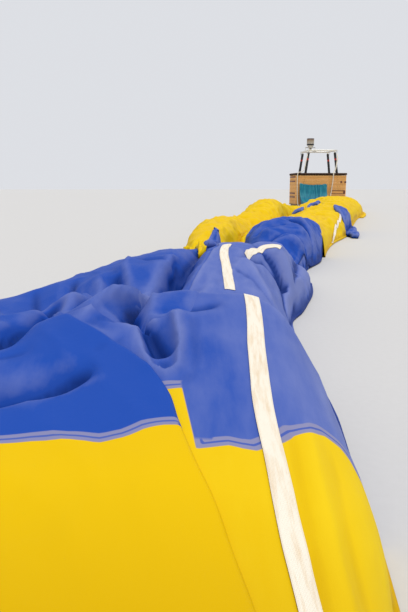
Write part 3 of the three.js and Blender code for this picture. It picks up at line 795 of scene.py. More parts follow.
def blurred(grid, reach):
    """A grid averaged over a square window."""
    window = 2 * reach + 1
    for axis in (0, 1):
        padding = [(0, 0), (0, 0)]
        padding[axis] = (reach + 1, reach)
        total = np.cumsum(np.pad(grid, padding, mode="edge"), axis=axis)
        places = np.arange(grid.shape[axis])
        grid = (np.take(total, places + window, axis=axis) - np.take(total, places, axis=axis)) / window
    return grid


CREST_FULL = 0.012


def crest_values(heights, reach):
    """How far each point stands over its neighbours, from -1 to 1."""
    return np.clip((heights - blurred(heights, reach)) / CREST_FULL, -1.0, 1.0)


def surface_normals(points):
    normal = np.cross(np.gradient(points, axis=1), np.gradient(points, axis=0))
    return normal / np.maximum(np.linalg.norm(normal, axis=-1, keepdims=True), TINY)


# Wires: each bundle leaves its karabiner, hangs over the rim and lies on the floor to the mouth

LEFT_WIRES = (
    (-0.516, -0.546, 1.8067), (-0.530, -0.566, 1.722), (-0.555, -0.590, 1.630), (-0.578, -0.604, 1.510),
    (-0.606, -0.606, 1.350), (-0.650, -0.614, 1.235), (-0.720, -0.624, 1.184), (-0.790, -0.642, 1.178),
    (-0.842, -0.664, 1.152), (-0.864, -0.664, 1.090), (-0.866, -0.650, 0.980), (-0.864, -0.646, 0.780),
    (-0.858, -0.648, 0.560), (-0.850, -0.654, 0.340), (-0.842, -0.680, 0.170), (-0.838, -0.740, 0.060),
    (-0.840, -0.850, 0.024), (-0.850, -0.980, 0.018), (-0.856, -1.120, 0.018), (-0.852, -1.250, 0.018),
    (-0.838, -1.326, 0.018), (-0.814, -1.358, 0.018), (-0.7906, -1.358, 0.018),
)
RIGHT_WIRES = (
    (0.520, -0.550, 1.8055), (0.532, -0.576, 1.722), (0.536, -0.594, 1.630), (0.520, -0.606, 1.510),
    (0.496, -0.612, 1.350), (0.468, -0.620, 1.250), (0.438, -0.636, 1.196), (0.414, -0.664, 1.166),
    (0.403, -0.680, 1.090), (0.396, -0.668, 0.960), (0.380, -0.658, 0.780), (0.352, -0.656, 0.560),
    (0.320, -0.662, 0.340), (0.290, -0.696, 0.170), (0.274, -0.770, 0.060), (0.268, -0.900, 0.026),
    (0.262, -1.030, 0.022), (0.258, -1.160, 0.022), (0.250, -1.260, 0.022), (0.238, -1.326, 0.022),
    (0.214, -1.358, 0.022), (0.1906, -1.358, 0.022),
)
STRAND_SIDES = 6
STRANDS_AROUND = 5
STRAND_SHARE = 0.19
ROUTE_SPACING = 0.022
GATHERED_LENGTH = 0.12


def even_route(points, spacing):
    """Evenly spaced points on the smooth curve through a route, and the length run up to each."""
    points = np.asarray(points, float)
    runs = run_lengths(points)
    fine = read_table(np.column_stack([runs, points]), np.linspace(0.0, runs[-1], 1200))
    lengths = run_lengths(fine)
    places = np.linspace(0.0, lengths[-1], int(lengths[-1] / spacing) + 1)
    return np.stack([np.interp(places, lengths, column) for column in fine.T], 1), places


def tube_frames(path):
    """Two directions square to a path at each of its points, carried along it without twist."""
    heading = np.gradient(path, axis=0)
    heading /= np.linalg.norm(heading, axis=1, keepdims=True)
    side = np.cross(heading[0], (0.0, 1.0, 0.3))
    sides = []
    for direction in heading:
        side = side - direction * np.dot(side, direction)
        side = side / np.linalg.norm(side)
        sides.append(side)
    return np.array(sides), np.cross(heading, sides)


def tube_rings(path, radius):
    """Rings of points round a path."""
    first, second = tube_frames(path)
    angles = np.arange(STRAND_SIDES) * math.tau / STRAND_SIDES
    return (path[:, None, :] + radius * (np.cos(angles)[None, :, None] * first[:, None, :]
                                         + np.sin(angles)[None, :, None] * second[:, None, :]))


def tubes_mesh(name, tubes):
    """One mesh of closed tubes, each a stack of rings."""
    faces, start = [], 0
    for rings in tubes:
        index = start + np.arange(rings.shape[0] * rings.shape[1]).reshape(rings.shape[:2])
        turned = np.roll(index, -1, axis=1)
        quads = np.stack([index[:-1], turned[:-1], turned[1:], index[1:]], -1).reshape(-1, 4)
        faces += [tuple(quad) for quad in quads.tolist()]
        faces += [tuple(index[0][::-1].tolist()), tuple(index[-1].tolist())]
        start += index.size
    mesh = bpy.data.meshes.new(name)
    mesh.from_pydata(np.concatenate([rings.reshape(-1, 3) for rings in tubes]).tolist(), [], faces)
    smooth_all(mesh)
    mesh.update()
    return add_object(name, mesh)


def wire_bundle(name, route, diameter, node, seed):
    """A bundle of cream ropes round a middle one, gathered at both ends and loose between."""
    path, places = even_route(route, ROUTE_SPACING)
    first, second = tube_frames(path)
    dice = np.random.default_rng(seed)
    strand = diameter * STRAND_SHARE
    ring = diameter / 2.0 - strand
    ends = np.clip(np.minimum(places, places[-1] - places) / GATHERED_LENGTH, 0.0, 1.0)
    tubes = [tube_rings(path, strand)]
    for number in range(STRANDS_AROUND):
        phase = dice.uniform(0.0, math.tau)
        angle = number * math.tau / STRANDS_AROUND + places * 2.6 + 0.35 * np.sin(places * 4.0 + phase)
        reach = ring * (0.80 + 0.18 * np.sin(places * 5.3 + phase * 2.0)) * (0.75 + 0.25 * ends)
        line = path + reach[:, None] * (np.cos(angle)[:, None] * first + np.sin(angle)[:, None] * second)
        tubes.append(tube_rings(line, strand))
    piece = tubes_mesh(name, tubes)
    give_attribute(piece, "run", np.tile(np.repeat(places, STRAND_SIDES), STRANDS_AROUND + 1))
    dress(piece, rope_finish(), nodes=(node,))


wire_bundle("wires_left", LEFT_WIRES, 0.032, "flying_wires_left", 3)
wire_bundle("wires_right", RIGHT_WIRES, 0.040, "flying_wires_right", 5)

# Where the cup's strip of yellow lies, middle and half width in plan: no seam band shows there
STRIP_MIDDLE, STRIP_HALF = (-0.013, 1.00), (0.029, 0.092)
# Painted shade on the yellow, deepest at the near end of the heap: places along, and how deep it is there.
SHADOW_ALONG = (-0.5, 0.35, 0.80)
SHADOW_DEPTH = (0.98, 0.85, 0.0)
FLOOR_GAP = 0.003
CREST_REACH = 0.05


def lay_cloth(name, outline, spacing, edges, lift, yellow_side, dust, wrinkle, seed, nodes=()):
    """A sheet laid on the heap.

    The outline lists left across, left along, right across and right along. Edges are start, end, left and
    right: ground, fold or under. Yellow side and dust are numbers, or functions of the place in plan. Wrinkle
    is depth, size, stretch and turn.
    """
    outline = np.asarray(outline, float)
    runs = run_lengths((outline[:, :2] + outline[:, 2:]) / 2.0)
    length = runs[-1]
    width = np.hypot(*(outline[:, 2:] - outline[:, :2]).T).max()
    start, end, left, right = edges
    row_inset, row_part, row_height, row_tucked = grid_line(max(8, int(length / spacing)), start, end, lift)
    col_inset, col_part, col_height, col_tucked = grid_line(max(8, int(width / spacing)), left, right, lift)
    hoops = read_table(np.column_stack([runs, outline]), row_part * length + row_inset)
    left_points, right_points = hoops[:, None, :2], hoops[:, None, 2:]
    spans = right_points - left_points
    widths = np.linalg.norm(spans, axis=-1, keepdims=True)
    plan = left_points + spans * (col_part[None, :, None] + col_inset[None, :, None] / widths)
    base = heap_top(plan[..., 0], plan[..., 1]).reshape(plan.shape[:2])
    raised = np.minimum(row_height[:, None], col_height[None, :])
    tucked = (row_tucked[:, None] + col_tucked[None, :]) > 0.0
    on_ground = np.zeros_like(tucked)
    for kind, where in ((start, np.s_[:EDGE_FOLD, :]), (end, np.s_[-EDGE_FOLD:, :]),
                        (left, np.s_[:, :EDGE_FOLD]), (right, np.s_[:, -EDGE_FOLD:])):
        if kind == "ground":
            on_ground[where] |= tucked[where]
    height = np.where(on_ground, FLOOR_GAP, base + raised)
    points = np.concatenate([plan, height[..., None]], -1)
    depth, *shape = wrinkle
    ridges = creases(points.reshape(-1, 3), *shape, seed).reshape(height.shape)
    calm = np.clip((raised - lift * 0.5) / (lift * 0.5), 0.0, 1.0)
    points = points + surface_normals(points) * ((ridges - CREASE_MIDDLE) * depth * calm)[..., None]
    points[..., 2] = np.maximum(points[..., 2], FLOOR_GAP)
    across, along, height = np.moveaxis(points, -1, 0)
    on_strip = np.abs(across - STRIP_MIDDLE[0]) < STRIP_HALF[0]
    on_strip &= np.abs(along - STRIP_MIDDLE[1]) < STRIP_HALF[1]
    yellow_side, dust = (value(across.ravel(), along.ravel()) if callable(value) else value
                         for value in (yellow_side, dust))
    piece = grid_mesh(name, to_world(across, along, height))
    for word, values in (
        ("crest", crest_values(height, max(3, int(CREST_REACH / spacing)))),
        ("yellow_side", np.broadcast_to(yellow_side, height.size)),
        ("banded", np.where(on_strip, 0.0, 1.0)),
        ("dust", np.broadcast_to(dust, height.size)),
        ("shadow", np.interp(along, SHADOW_ALONG, SHADOW_DEPTH)),
    ):
        give_attribute(piece, word, values)
    dress(piece, envelope_cloth, nodes=nodes)
    return piece


envelope_cloth = cloth_finish("envelope_cloth")

LEFT_SEAM = ((-3.0, 0.82), (-1.4, 0.84), (-0.8, 0.86), (-0.50, 0.875), (-0.323, 0.882), (-0.262, 0.886),
             (-0.208, 0.887), (-0.166, 0.880), (-0.126, 0.890), (-0.094, 0.911), (-0.062, 0.927), (0.5, 0.93))
RIGHT_SEAM = ((-3.0, 1.045), (-0.10, 1.045), (-0.041, 1.056), (-0.012, 0.880), (0.040, 0.894), (0.061, 0.889),
              (0.086, 0.893), (0.134, 0.937), (0.156, 0.967), (0.190, 0.984), (0.218, 1.009), (0.249, 1.014),
              (0.264, 1.006), (0.281, 0.992), (0.300, 0.985), (0.60, 0.985))


def behind(line):
    """Yellow on the near side of a line in plan."""
    return lambda across, along: -polyline_reach(line, across, along)[0]


def paler_right(across, along):
    """Paler towards the right-hand side of the near sheet."""
    return np.interp(across, (-0.10, 0.05, 0.20, 0.30), (0.30, 0.34, 0.55, 0.66))


# Columns: name, spacing, edges (start, end, left, right), lift,
# yellow side (-1 blue, 1 yellow, or where the one changes to the other), dust,
# wrinkle (depth, size, stretch, turn), seed, nodes that it replaces,
# and outline (left across, left along, right across, right along)
SHEETS = (
    ("near_sheet", 0.008, ("ground", "under", "under", "ground"), 0.010, behind(RIGHT_SEAM), paler_right,
     (0.006, 0.15, 2.4, 0.1), 11, ("envelope_crown",), (
         (-0.45, -1.93, -0.06, -1.90), (-0.30, -1.40, 0.09, -1.40), (-0.20, -0.70, 0.18, -0.70),
         (-0.20, 0.00, 0.23, 0.00), (-0.22, 0.50, 0.262, 0.50), (-0.25, 0.80, 0.303, 0.80),
         (-0.30, 1.10, 0.338, 1.10), (-0.42, 1.40, 0.363, 1.40), (-0.50, 1.60, 0.383, 1.60),
         (-0.52, 1.85, 0.390, 1.85), (-0.52, 2.10, 0.398, 2.10),
     )),
    ("left_flap", 0.013, ("ground", "under", "ground", "fold"), 0.022, behind(LEFT_SEAM), -0.14,
     (0.010, 0.17, 2.0, -0.5), 12, (), (
         (-0.61, -1.93, -0.30, -1.93), (-0.89, -1.40, -0.12, -1.40), (-1.13, -0.70, 0.00, -0.70),
         (-1.25, 0.00, 0.085, 0.00), (-1.32, 0.50, 0.080, 0.50), (-1.33, 0.61, 0.059, 0.61),
         (-1.34, 0.69, 0.038, 0.69), (-1.345, 0.77, 0.017, 0.77), (-1.355, 0.86, -0.016, 0.86),
         (-1.37, 0.95, -0.042, 0.95), (-1.38, 1.05, -0.068, 1.05), (-1.385, 1.13, -0.116, 1.13),
         (-1.39, 1.22, -0.179, 1.22), (-1.39, 1.32, -0.285, 1.32), (-1.39, 1.42, -0.350, 1.45),
         (-1.39, 1.62, -0.420, 1.62),
     )),
    ("left_back", 0.0105, ("under", "under", "ground", "under"), 0.016, -1.0, 0.0,
     (0.015, 0.17, 2.6, -0.35), 13, ("envelope_belly",), (
         (-1.39, 1.50, 0.00, 1.35), (-1.40, 1.80, 0.06, 1.80), (-1.38, 2.10, 0.10, 2.15),
         (-1.33, 2.45, 0.14, 2.45), (-1.23, 2.80, 0.18, 2.80), (-1.12, 3.10, 0.20, 3.10),
         (-1.02, 3.50, 0.25, 3.50), (-0.88, 4.00, 0.25, 4.00), (-0.70, 4.60, 0.25, 4.60),
     )),
    ("second_sheet", 0.012, ("under", "under", "fold", "ground"), 0.024, -1.0, 0.62,
     (0.014, 0.13, 2.6, 0.3), 14, (), (
         (-0.17, 1.92, 0.392, 1.95), (-0.13, 2.06, 0.396, 2.15), (-0.06, 2.22, 0.398, 2.40),
         (0.005, 2.48, 0.410, 2.62), (0.045, 2.75, 0.440, 2.85), (0.075, 3.00, 0.520, 3.06),
         (0.070, 3.25, 0.590, 3.30), (0.05, 3.60, 0.670, 3.60), (0.02, 4.00, 0.735, 4.00),
     )),
    ("waist_sheet", 0.018, ("under", "under", "under", "ground"), 0.004, -1.0, 0.3,
     (0.012, 0.22, 2.0, -0.3), 15, ("envelope_waist",), (
         (0.02, 3.80, 0.70, 3.90), (0.08, 4.20, 0.75, 4.20), (0.18, 4.60, 0.80, 4.60),
         (0.30, 5.20, 0.97, 5.20), (0.42, 5.80, 1.00, 5.80), (0.52, 6.20, 0.95, 6.20),
     )),
    ("left_roll", 0.018, ("fold", "under", "fold", "under"), 0.030, 1.0, 0.15,
     (0.045, 0.18, 2.2, -0.2), 16, ("envelope_left_roll",), (
         (-0.14, 3.98, 0.02, 3.96), (-0.16, 4.25, 0.12, 4.20), (-0.17, 4.70, 0.24, 4.60),
         (-0.16, 5.20, 0.38, 5.15), (-0.13, 5.80, 0.50, 5.75), (-0.05, 6.40, 0.60, 6.40),
         (0.07, 7.20, 0.80, 7.20), (0.34, 8.10, 1.06, 8.10), (0.44, 8.80, 1.18, 8.80),
         (0.73, 10.00, 1.40, 10.00), (1.07, 11.20, 1.84, 11.20), (1.44, 12.30, 2.28, 12.30),
         (1.78, 13.10, 2.50, 13.10),
     )),
    ("right_fold", 0.019, ("fold", "under", "under", "ground"), 0.026, 1.0, 0.15,
     (0.042, 0.20, 2.2, 0.4), 18, ("envelope_right_fold",), (
         (0.70, 5.60, 1.15, 5.62), (0.66, 6.20, 1.29, 6.20), (0.62, 7.00, 1.53, 7.00),
         (0.80, 7.80, 1.84, 7.80), (1.10, 8.80, 2.17, 8.80), (1.50, 10.00, 2.48, 10.00),
         (1.80, 11.20, 2.82, 11.20), (1.90, 12.50, 3.20, 12.50), (2.05, 13.40, 3.50, 13.40),
     )),
    ("blue_mound", 0.014, ("fold", "fold", "fold", "fold"), 0.035, -1.0, 0.02,
     (0.026, 0.18, 2.6, -0.9), 17, ("envelope_blue_mound",), (
         (0.46, 4.38, 0.70, 4.42), (0.35, 4.75, 0.86, 4.80), (0.36, 5.20, 1.04, 5.25),
         (0.43, 5.60, 1.12, 5.70), (0.52, 6.00, 1.12, 6.05), (0.64, 6.40, 1.00, 6.40),
     )),
    ("far_heap", 0.022, ("fold", "under", "ground", "ground"), 0.035, 1.0, 0.15,
     (0.055, 0.26, 2.0, 0.1), 19, ("envelope_far_heap",), (
         (1.70, 12.90, 3.45, 13.00), (2.06, 14.00, 3.77, 14.00), (2.58, 15.50, 4.12, 15.50),
         (2.88, 16.50, 4.30, 16.50), (3.05, 17.00, 4.36, 17.00),
     )),
    ("neck_sheet", 0.020, ("fold", "ground", "ground", "ground"), 0.030, 1.0, 0.15,
     (0.045, 0.20, 2.6, 0.05), 20, ("envelope_neck",), (
         (2.98, 16.80, 4.34, 16.80), (3.18, 17.50, 4.42, 17.50), (3.38, 18.80, 4.45, 18.80),
         (3.45, 20.10, 4.44, 20.10),
     )),
)
laid = {}
for name, spacing, edges, lift, yellow_side, dust, wrinkle, seed, nodes, outline in SHEETS:
    laid[name] = lay_cloth(name, outline, spacing, edges, lift, yellow_side, dust, wrinkle, seed, nodes)

# Loose ends of cloth that lie over the heaps: yellow side, lift, edges and the outline of each
LOOSE_ENDS = (
    ("finger_left", 1.0, 0.050, ("fold", "under"), (
        (-0.120, 3.66, -0.095, 3.65), (-0.148, 3.85, -0.092, 3.85), (-0.175, 4.10, -0.085, 4.10),
        (-0.19, 4.40, -0.07, 4.40),
    )),
    ("finger_right", 1.0, 0.055, ("fold", "under"), (
        (-0.022, 3.30, 0.002, 3.30), (-0.042, 3.50, 0.004, 3.50), (-0.068, 3.80, -0.004, 3.80),
        (-0.09, 4.15, -0.01, 4.15), (-0.11, 4.40, -0.01, 4.40),
    )),
    ("blue_lining", -1.0, 0.060, ("fold", "fold"), (
        (-0.006, 3.45, 0.060, 3.43), (-0.005, 3.70, 0.098, 3.68), (0.006, 4.10, 0.116, 4.08),
        (0.030, 4.42, 0.134, 4.40), (0.062, 4.62, 0.130, 4.60), (0.085, 4.74, 0.112, 4.73),
    )),
    ("blue_clump", -1.0, 0.080, ("fold", "fold"), (
        (1.90, 7.98, 2.02, 8.00), (1.87, 8.25, 2.12, 8.30), (1.87, 8.60, 2.21, 8.65),
        (1.92, 8.95, 2.27, 9.00), (2.00, 9.20, 2.22, 9.20),
    )),
    ("blue_tail", -1.0, 0.060, ("fold", "fold"), (
        (1.92, 7.75, 1.99, 7.70), (1.94, 8.00, 2.07, 7.95), (1.98, 8.30, 2.14, 8.25),
    )),
    ("blue_scrap", -1.0, 0.085, ("fold", "fold"), (
        (1.66, 9.60, 1.79, 9.56), (1.70, 10.10, 1.92, 10.05), (1.79, 10.60, 2.04, 10.55),
        (1.92, 11.00, 2.08, 10.95),
    )),
    ("blue_strip", -1.0, 0.085, ("fold", "fold"), (
        (1.24, 8.50, 1.36, 8.45), (1.30, 8.90, 1.46, 8.85), (1.39, 9.45, 1.56, 9.40),
        (1.50, 9.95, 1.62, 9.90),
    )),
)
for index, (name, yellow_side, lift, ends, outline) in enumerate(LOOSE_ENDS):
    lay_cloth(name, outline, 0.012, (*ends, "fold", "fold"), lift, yellow_side, 0.12,
              (0.020, 0.09, 2.0, 0.5), 40 + index)


def smoothed_rows(rows, times):
    """Rows of numbers averaged with their neighbours."""
    for _ in range(times):
        padded = np.concatenate([rows[:1], rows, rows[-1:]])
        rows = (padded[:-2] + 2.0 * padded[1:-1] + padded[2:]) / 4.0
    return rows


TAPE_STEP = 0.01
OVER_THE_HEAP = 1.5
TAPE_COLUMNS = 5
load_tape = tape_finish()


def lay_tape(name, sheet, proud, line):
    """A flat tape laid on a sheet along a line in plan, as far proud of it as proud says."""
    runs = run_lengths(line)
    count = max(8, int(runs[-1] / TAPE_STEP))
    middle = read_table(np.column_stack([runs, line]), np.linspace(0.0, runs[-1], count))
    mesh = laid[sheet].data
    tree = BVHTree.FromPolygons([vertex.co for vertex in mesh.vertices],
                                [face.vertices[:] for face in mesh.polygons])
    hits = [tree.ray_cast(Vector(point), Vector((0.0, 0.0, -1.0)))
            for point in to_world(middle[:, 0], middle[:, 1], np.full(count, OVER_THE_HEAP))]
    spine = smoothed_rows(np.array([hit[0] for hit in hits]), 2)
    normals = smoothed_rows(np.array([hit[1] for hit in hits]), 6)
    side = np.cross(np.gradient(spine, axis=0), normals)
    side /= np.linalg.norm(side, axis=1, keepdims=True)
    offsets = np.linspace(-TAPE_WIDTH / 2.0, TAPE_WIDTH / 2.0, TAPE_COLUMNS)
    points = spine[:, None, :] + side[:, None, :] * offsets[None, :, None]
    for point in points.reshape(-1, 3):
        spot, normal = tree.find_nearest(Vector(point))[:2]
        point[:] = spot + normal * proud
    piece = grid_mesh(name, points)
    lengths = run_lengths(spine)
    give_attribute(piece, "run", np.repeat(lengths, TAPE_COLUMNS))
    give_attribute(piece, "across", np.tile(offsets, count))
    dress(piece, load_tape)


# Columns: name, sheet that it lies on, how far proud of it, and its line (across, along)
TAPES = (
    ("tape_near", "near_sheet", 0.0025, (
        (0.02, -1.20), (0.08, -0.70), (0.13, 0.00), (0.134, 0.45), (0.127, 0.65), (0.119, 0.78),
        (0.114, 0.88), (0.107, 1.00), (0.110, 1.16), (0.113, 1.25), (0.120, 1.36), (0.125, 1.50),
        (0.125, 1.60), (0.122, 1.68),
    )),
    ("tape_second", "second_sheet", 0.0025, (
        (0.098, 2.20), (0.095, 2.30), (0.092, 2.42), (0.087, 2.58), (0.098, 2.75), (0.115, 2.88),
    )),
    ("tape_across", "second_sheet", 0.0025, (
        (0.190, 2.69), (0.225, 2.83), (0.262, 2.95), (0.303, 3.01), (0.350, 3.015), (0.392, 3.01),
    )),
    ("tape_far", "right_fold", 0.008, (
        (1.88, 8.30), (1.831, 8.09), (1.72, 7.70), (1.61, 7.34), (1.52, 7.04), (1.46, 6.82),
    )),
)
for tape in TAPES:
    lay_tape(*tape)


# Scoop: cloth that hangs from the basket's near side down to the mouth of the envelope.
# Share of the fall, distance out from the basket, height, and how far each side edge reaches back and down
SCOOP_FALL = (
    (0.000, -0.668, 0.765, 0.012, 0.000),
    (0.030, -0.692, 0.788, 0.034, 0.000),
    (0.120, -0.722, 0.690, 0.064, 0.000),
    (0.300, -0.792, 0.450, 0.120, -0.020),
    (0.450, -0.900, 0.300, 0.150, -0.080),
    (0.600, -1.120, 0.190, 0.080, -0.150),
    (0.800, -1.480, 0.140, 0.020, -0.125),
    (1.000, -1.780, 0.105, 0.000, -0.090),
)
# Share of the width, and how far the top edge hangs there
SCOOP_SAG = (
    (0.0, 0.012), (0.12, -0.008), (0.35, -0.040), (0.60, -0.042), (0.85, -0.030), (0.94, -0.012),
    (1.0, -0.030),
)
SCOOP_LEFT, SCOOP_RIGHT = -0.785, 0.185
SCOOP_TURN_IN = 0.12


def scoop_cloth():
    """One sheet of rows down the fall and columns over the width, its side edges turned back."""
    rows, columns = 120, 130
    fall = np.linspace(0.0, 1.0, rows)
    share = np.linspace(-SCOOP_TURN_IN, 1.0 + SCOOP_TURN_IN, columns)
    out, height, back, down = (column[:, None] for column in read_table(SCOOP_FALL, fall).T)
    inside = np.clip(share, 0.0, 1.0)
    turned_in = np.clip(np.maximum(-share, share - 1.0) / SCOOP_TURN_IN, 0.0, 1.0)[None, :]
    narrowing = np.interp(fall, (0.0, 0.5, 1.0), (0.0, 0.03, 0.10))[:, None]
    x = SCOOP_LEFT + (SCOOP_RIGHT - SCOOP_LEFT) * (narrowing * 0.5 + (1.0 - narrowing) * inside)
    y = out + turned_in * back
    sag = read_table(SCOOP_SAG, inside)[:, 0]
    z = height + turned_in * down + sag[None, :] * (1.0 - fall[:, None]) ** 1.5
    flat = np.stack([x.ravel(), np.repeat(fall, columns) * 0.55, np.zeros(x.size)], 1)
    folds = (creases(flat, 0.16, 2.6, 0.10, 81).reshape(x.shape) - CREASE_MIDDLE) * (1.0 - turned_in)
    points = np.stack([x, y, z], -1)
    points += surface_normals(points) * (folds * 0.045)[..., None]
    points[..., 2] = np.clip(points[..., 2], 0.004, 0.797)
    points[..., 1] = np.minimum(points[..., 1], -0.652)
    piece = grid_mesh("scoop_cloth", points)
    give_attribute(piece, "crest", crest_values(-points[..., 1], 6))
    give_attribute(piece, "fall", np.repeat(fall, columns))
    dress(piece, scoop_finish(), nodes=("mouth_scoop",))


scoop_cloth()


# Basket, uprights and burner

SIDES = (("left", -1), ("right", 1))
DEPTHS = (("near", -1), ("far", 1))
CORNERS = tuple((f"{depth}_{side}", x_sign, y_sign) for depth, y_sign in DEPTHS for side, x_sign in SIDES)

black_metal = metal_finish("black_metal", (0.018, 0.018, 0.020), 0.42, 0.3, (0.10, 0.08, 0.06))
bare_steel = metal_finish("bare_steel", (0.58, 0.57, 0.55), 0.34, 0.9)
oxblood_leather = leather_finish("oxblood_leather", (0.115, 0.022, 0.014))
brushed_aluminium = metal_finish("brushed_aluminium", (0.66, 0.67, 0.68), 0.38, 0.85, (0.35, 0.34, 0.32))
enamel = metal_finish("burner_enamel", (0.74, 0.69, 0.57), 0.40, 0.15, (0.20, 0.16, 0.12), 0.6)

NODE_FINISHES = (
    (("floor_with_runners",), wood_finish()),
    (("burner_frame",), metal_finish("frame_steel", (0.78, 0.74, 0.64), 0.36, 0.35, (0.42, 0.36, 0.27))),
    (("gimbal_ring", *(f"karabiner_{corner}" for corner, _, _ in CORNERS), "crown_ring"), bare_steel),
    (("burner_block",), enamel),
    (("burner_coil",), metal_finish("coil_steel", (0.30, 0.25, 0.21), 0.40, 0.85, (0.12, 0.10, 0.12), 0.7)),
    (("blast_valve_near", "blast_valve_far"), black_metal),
    (tuple(f"upright_pocket_{corner}" for corner, _, _ in CORNERS),
     leather_finish("pocket_leather", (0.060, 0.032, 0.020))),
)
for names, finish in NODE_FINISHES:
    for name in names:
        for slot in bpy.data.objects[name].material_slots:
            slot.material = finish


def clear_selection():
    if bpy.context.object and bpy.context.object.mode != "OBJECT":
        bpy.ops.object.mode_set(mode="OBJECT")
    bpy.ops.object.select_all(action="DESELECT")


def pick(piece):
    clear_selection()
    piece.select_set(True)
    bpy.context.view_layer.objects.active = piece


def started():
    """The primitive just added, its place taken into its mesh."""
    bpy.ops.object.transform_apply(location=True, rotation=True, scale=True)
    return bpy.context.object


def start_tube(vertices, radius, length, low=0.0, along_x=False, ends="NOTHING"):
    """A tube along Z from a height, or along X from the origin."""
    clear_selection()
    middle = (length / 2.0, 0.0, 0.0) if along_x else (0.0, 0.0, low + length / 2.0)
    bpy.ops.mesh.primitive_cylinder_add(vertices=vertices, radius=radius, depth=length, end_fill_type=ends,
                                        location=middle, rotation=(0.0, math.pi / 2.0 * along_x, 0.0))
    return started()


@contextmanager
def all_edited(piece):
    """Edit mode on a piece with all of it selected."""
    pick(piece)
    bpy.ops.object.mode_set(mode="EDIT")
    bpy.ops.mesh.select_all(action="SELECT")
    yield
    bpy.ops.object.mode_set(mode="OBJECT")


@contextmanager
def part_edited(piece, kind, wanted):
    """Edit mode on the points of a piece that pass a test on their place, or on its faces by their normal."""
    pick(piece)
    mesh = piece.data
    for items in (mesh.vertices, mesh.edges, mesh.polygons):
        items.foreach_set("select", np.zeros(len(items), bool))
    for item in mesh.vertices if kind == "VERT" else mesh.polygons:
        item.select = wanted(item.co if kind == "VERT" else item.normal)
    bpy.ops.object.mode_set(mode="EDIT")
    bpy.ops.mesh.select_mode(type=kind)
    yield
    bpy.ops.object.mode_set(mode="OBJECT")


SAME_PLACE = 1e-4


def ring_edited(piece, axis, place):
    """Edit mode on the ring of points at a place along an axis, 0 for X and 2 for Z."""
    return part_edited(piece, "VERT", lambda spot: abs(spot[axis] - place) < SAME_PLACE)


def cut_rings(piece, axis, places):
    """Cut a piece all round at places along an axis, 0 for X and 2 for Z."""
    with all_edited(piece):
        for place in places:
            bpy.ops.mesh.select_all(action="SELECT")
            bpy.ops.mesh.bisect(plane_co=[place * (number == axis) for number in range(3)],
                                plane_no=[float(number == axis) for number in range(3)])


def apply_all(piece):
    pick(piece)
    for modifier in list(piece.modifiers):
        bpy.ops.object.modifier_apply(modifier=modifier.name)


def settle(piece, name, finish, body="root", nodes=(), smooth=35.0):
    """Finish a piece: its place goes into its mesh, and it gets its name, finish and body."""
    pick(piece)
    bpy.ops.object.transform_apply(location=True, rotation=True, scale=True)
    with all_edited(piece):
        bpy.ops.mesh.normals_make_consistent(inside=False)
    if smooth:
        bpy.ops.object.shade_smooth_by_angle(angle=math.radians(smooth))
    else:
        smooth_all(piece.data)
    piece.name = name
    piece.data.name = name
    dress(piece, finish, body, nodes)


def wall_curve(half, corner, height):
    """A closed curve round the basket, a rectangle with round corners, and its length."""
    curve = bpy.data.curves.new("basket_line", "CURVE")
    curve.dimensions = "3D"
    curve.twist_mode = "Z_UP"
    points = []
    for x_sign, y_sign, start in ((1, 1, 0.0), (-1, 1, 90.0), (-1, -1, 180.0), (1, -1, 270.0)):
        for step in range(9):
            angle = math.radians(start + step * 90.0 / 8)
            points.append((x_sign * (half[0] - corner) + corner * math.cos(angle),
                           y_sign * (half[1] - corner) + corner * math.sin(angle), height))
    spline = curve.splines.new("POLY")
    spline.points.add(len(points) - 1)
    for spot, point in zip(spline.points, points):
        spot.co = (*point, 1.0)
    spline.use_cyclic_u = True
    length = sum(math.dist(a, b) for a, b in zip(points, points[1:] + points[:1]))
    return add_object("basket_line", curve), length


def array(piece, count, offset, merge=False):
    modifier = piece.modifiers.new("row", "ARRAY")
    modifier.count = count
    modifier.use_relative_offset = False
    modifier.use_constant_offset = True
    modifier.constant_offset_displace = offset
    modifier.use_merge_vertices = merge
    modifier.merge_threshold = 0.0005


def run_round(piece, holder):
    modifier = piece.modifiers.new("round", "CURVE")
    modifier.object = holder
    modifier.deform_axis = "POS_X"


def weave_strand(length):
    """One period of a willow strand: out round one stake and in round the next."""
    strand = start_tube(6, STRAND_RADIUS, length, along_x=True)
    cut_rings(strand, 0, [length * part for part in (0.25, 0.5, 0.75)])
    for part, swing in ((0.0, -STRAND_SWING), (0.5, STRAND_SWING), (1.0, -STRAND_SWING)):
        with ring_edited(strand, 0, length * part):
            bpy.ops.transform.translate(value=(0.0, swing, 0.0))
    return strand


def woven_wall():
    """Willow strands woven round stakes, every other course half a period on."""
    holder, around = wall_curve(WALL_HALF, WALL_CORNER, 0.0)
    length = around / PERIODS
    low, high = WALL_BOX[0][2], WALL_BOX[1][2]
    strand = weave_strand(length)
    with all_edited(strand):
        bpy.ops.mesh.duplicate_move(TRANSFORM_OT_translate={"value": (length / 2.0, 0.0, COURSE)})
    strand.location.z = low + STRAND_RADIUS
    bpy.ops.object.transform_apply(location=True, rotation=True, scale=True)
    array(strand, PERIODS, (length, 0.0, 0.0), True)
    run_round(strand, holder)
    courses = int((high - low - 2.0 * STRAND_RADIUS) / (2.0 * COURSE)) + 1
    array(strand, courses, (0.0, 0.0, 2.0 * COURSE))
    apply_all(strand)
    settle(strand, "woven_wall", wicker_finish(), nodes=("basket_weave",), smooth=None)

    stake = start_tube(8, STAKE_RADIUS, high - low, low)
    array(stake, PERIODS * 2, (length / 2.0, 0.0, 0.0))
    run_round(stake, holder)
    apply_all(stake)
    settle(stake, "wall_stakes", wicker_finish())
    bpy.data.objects.remove(holder)


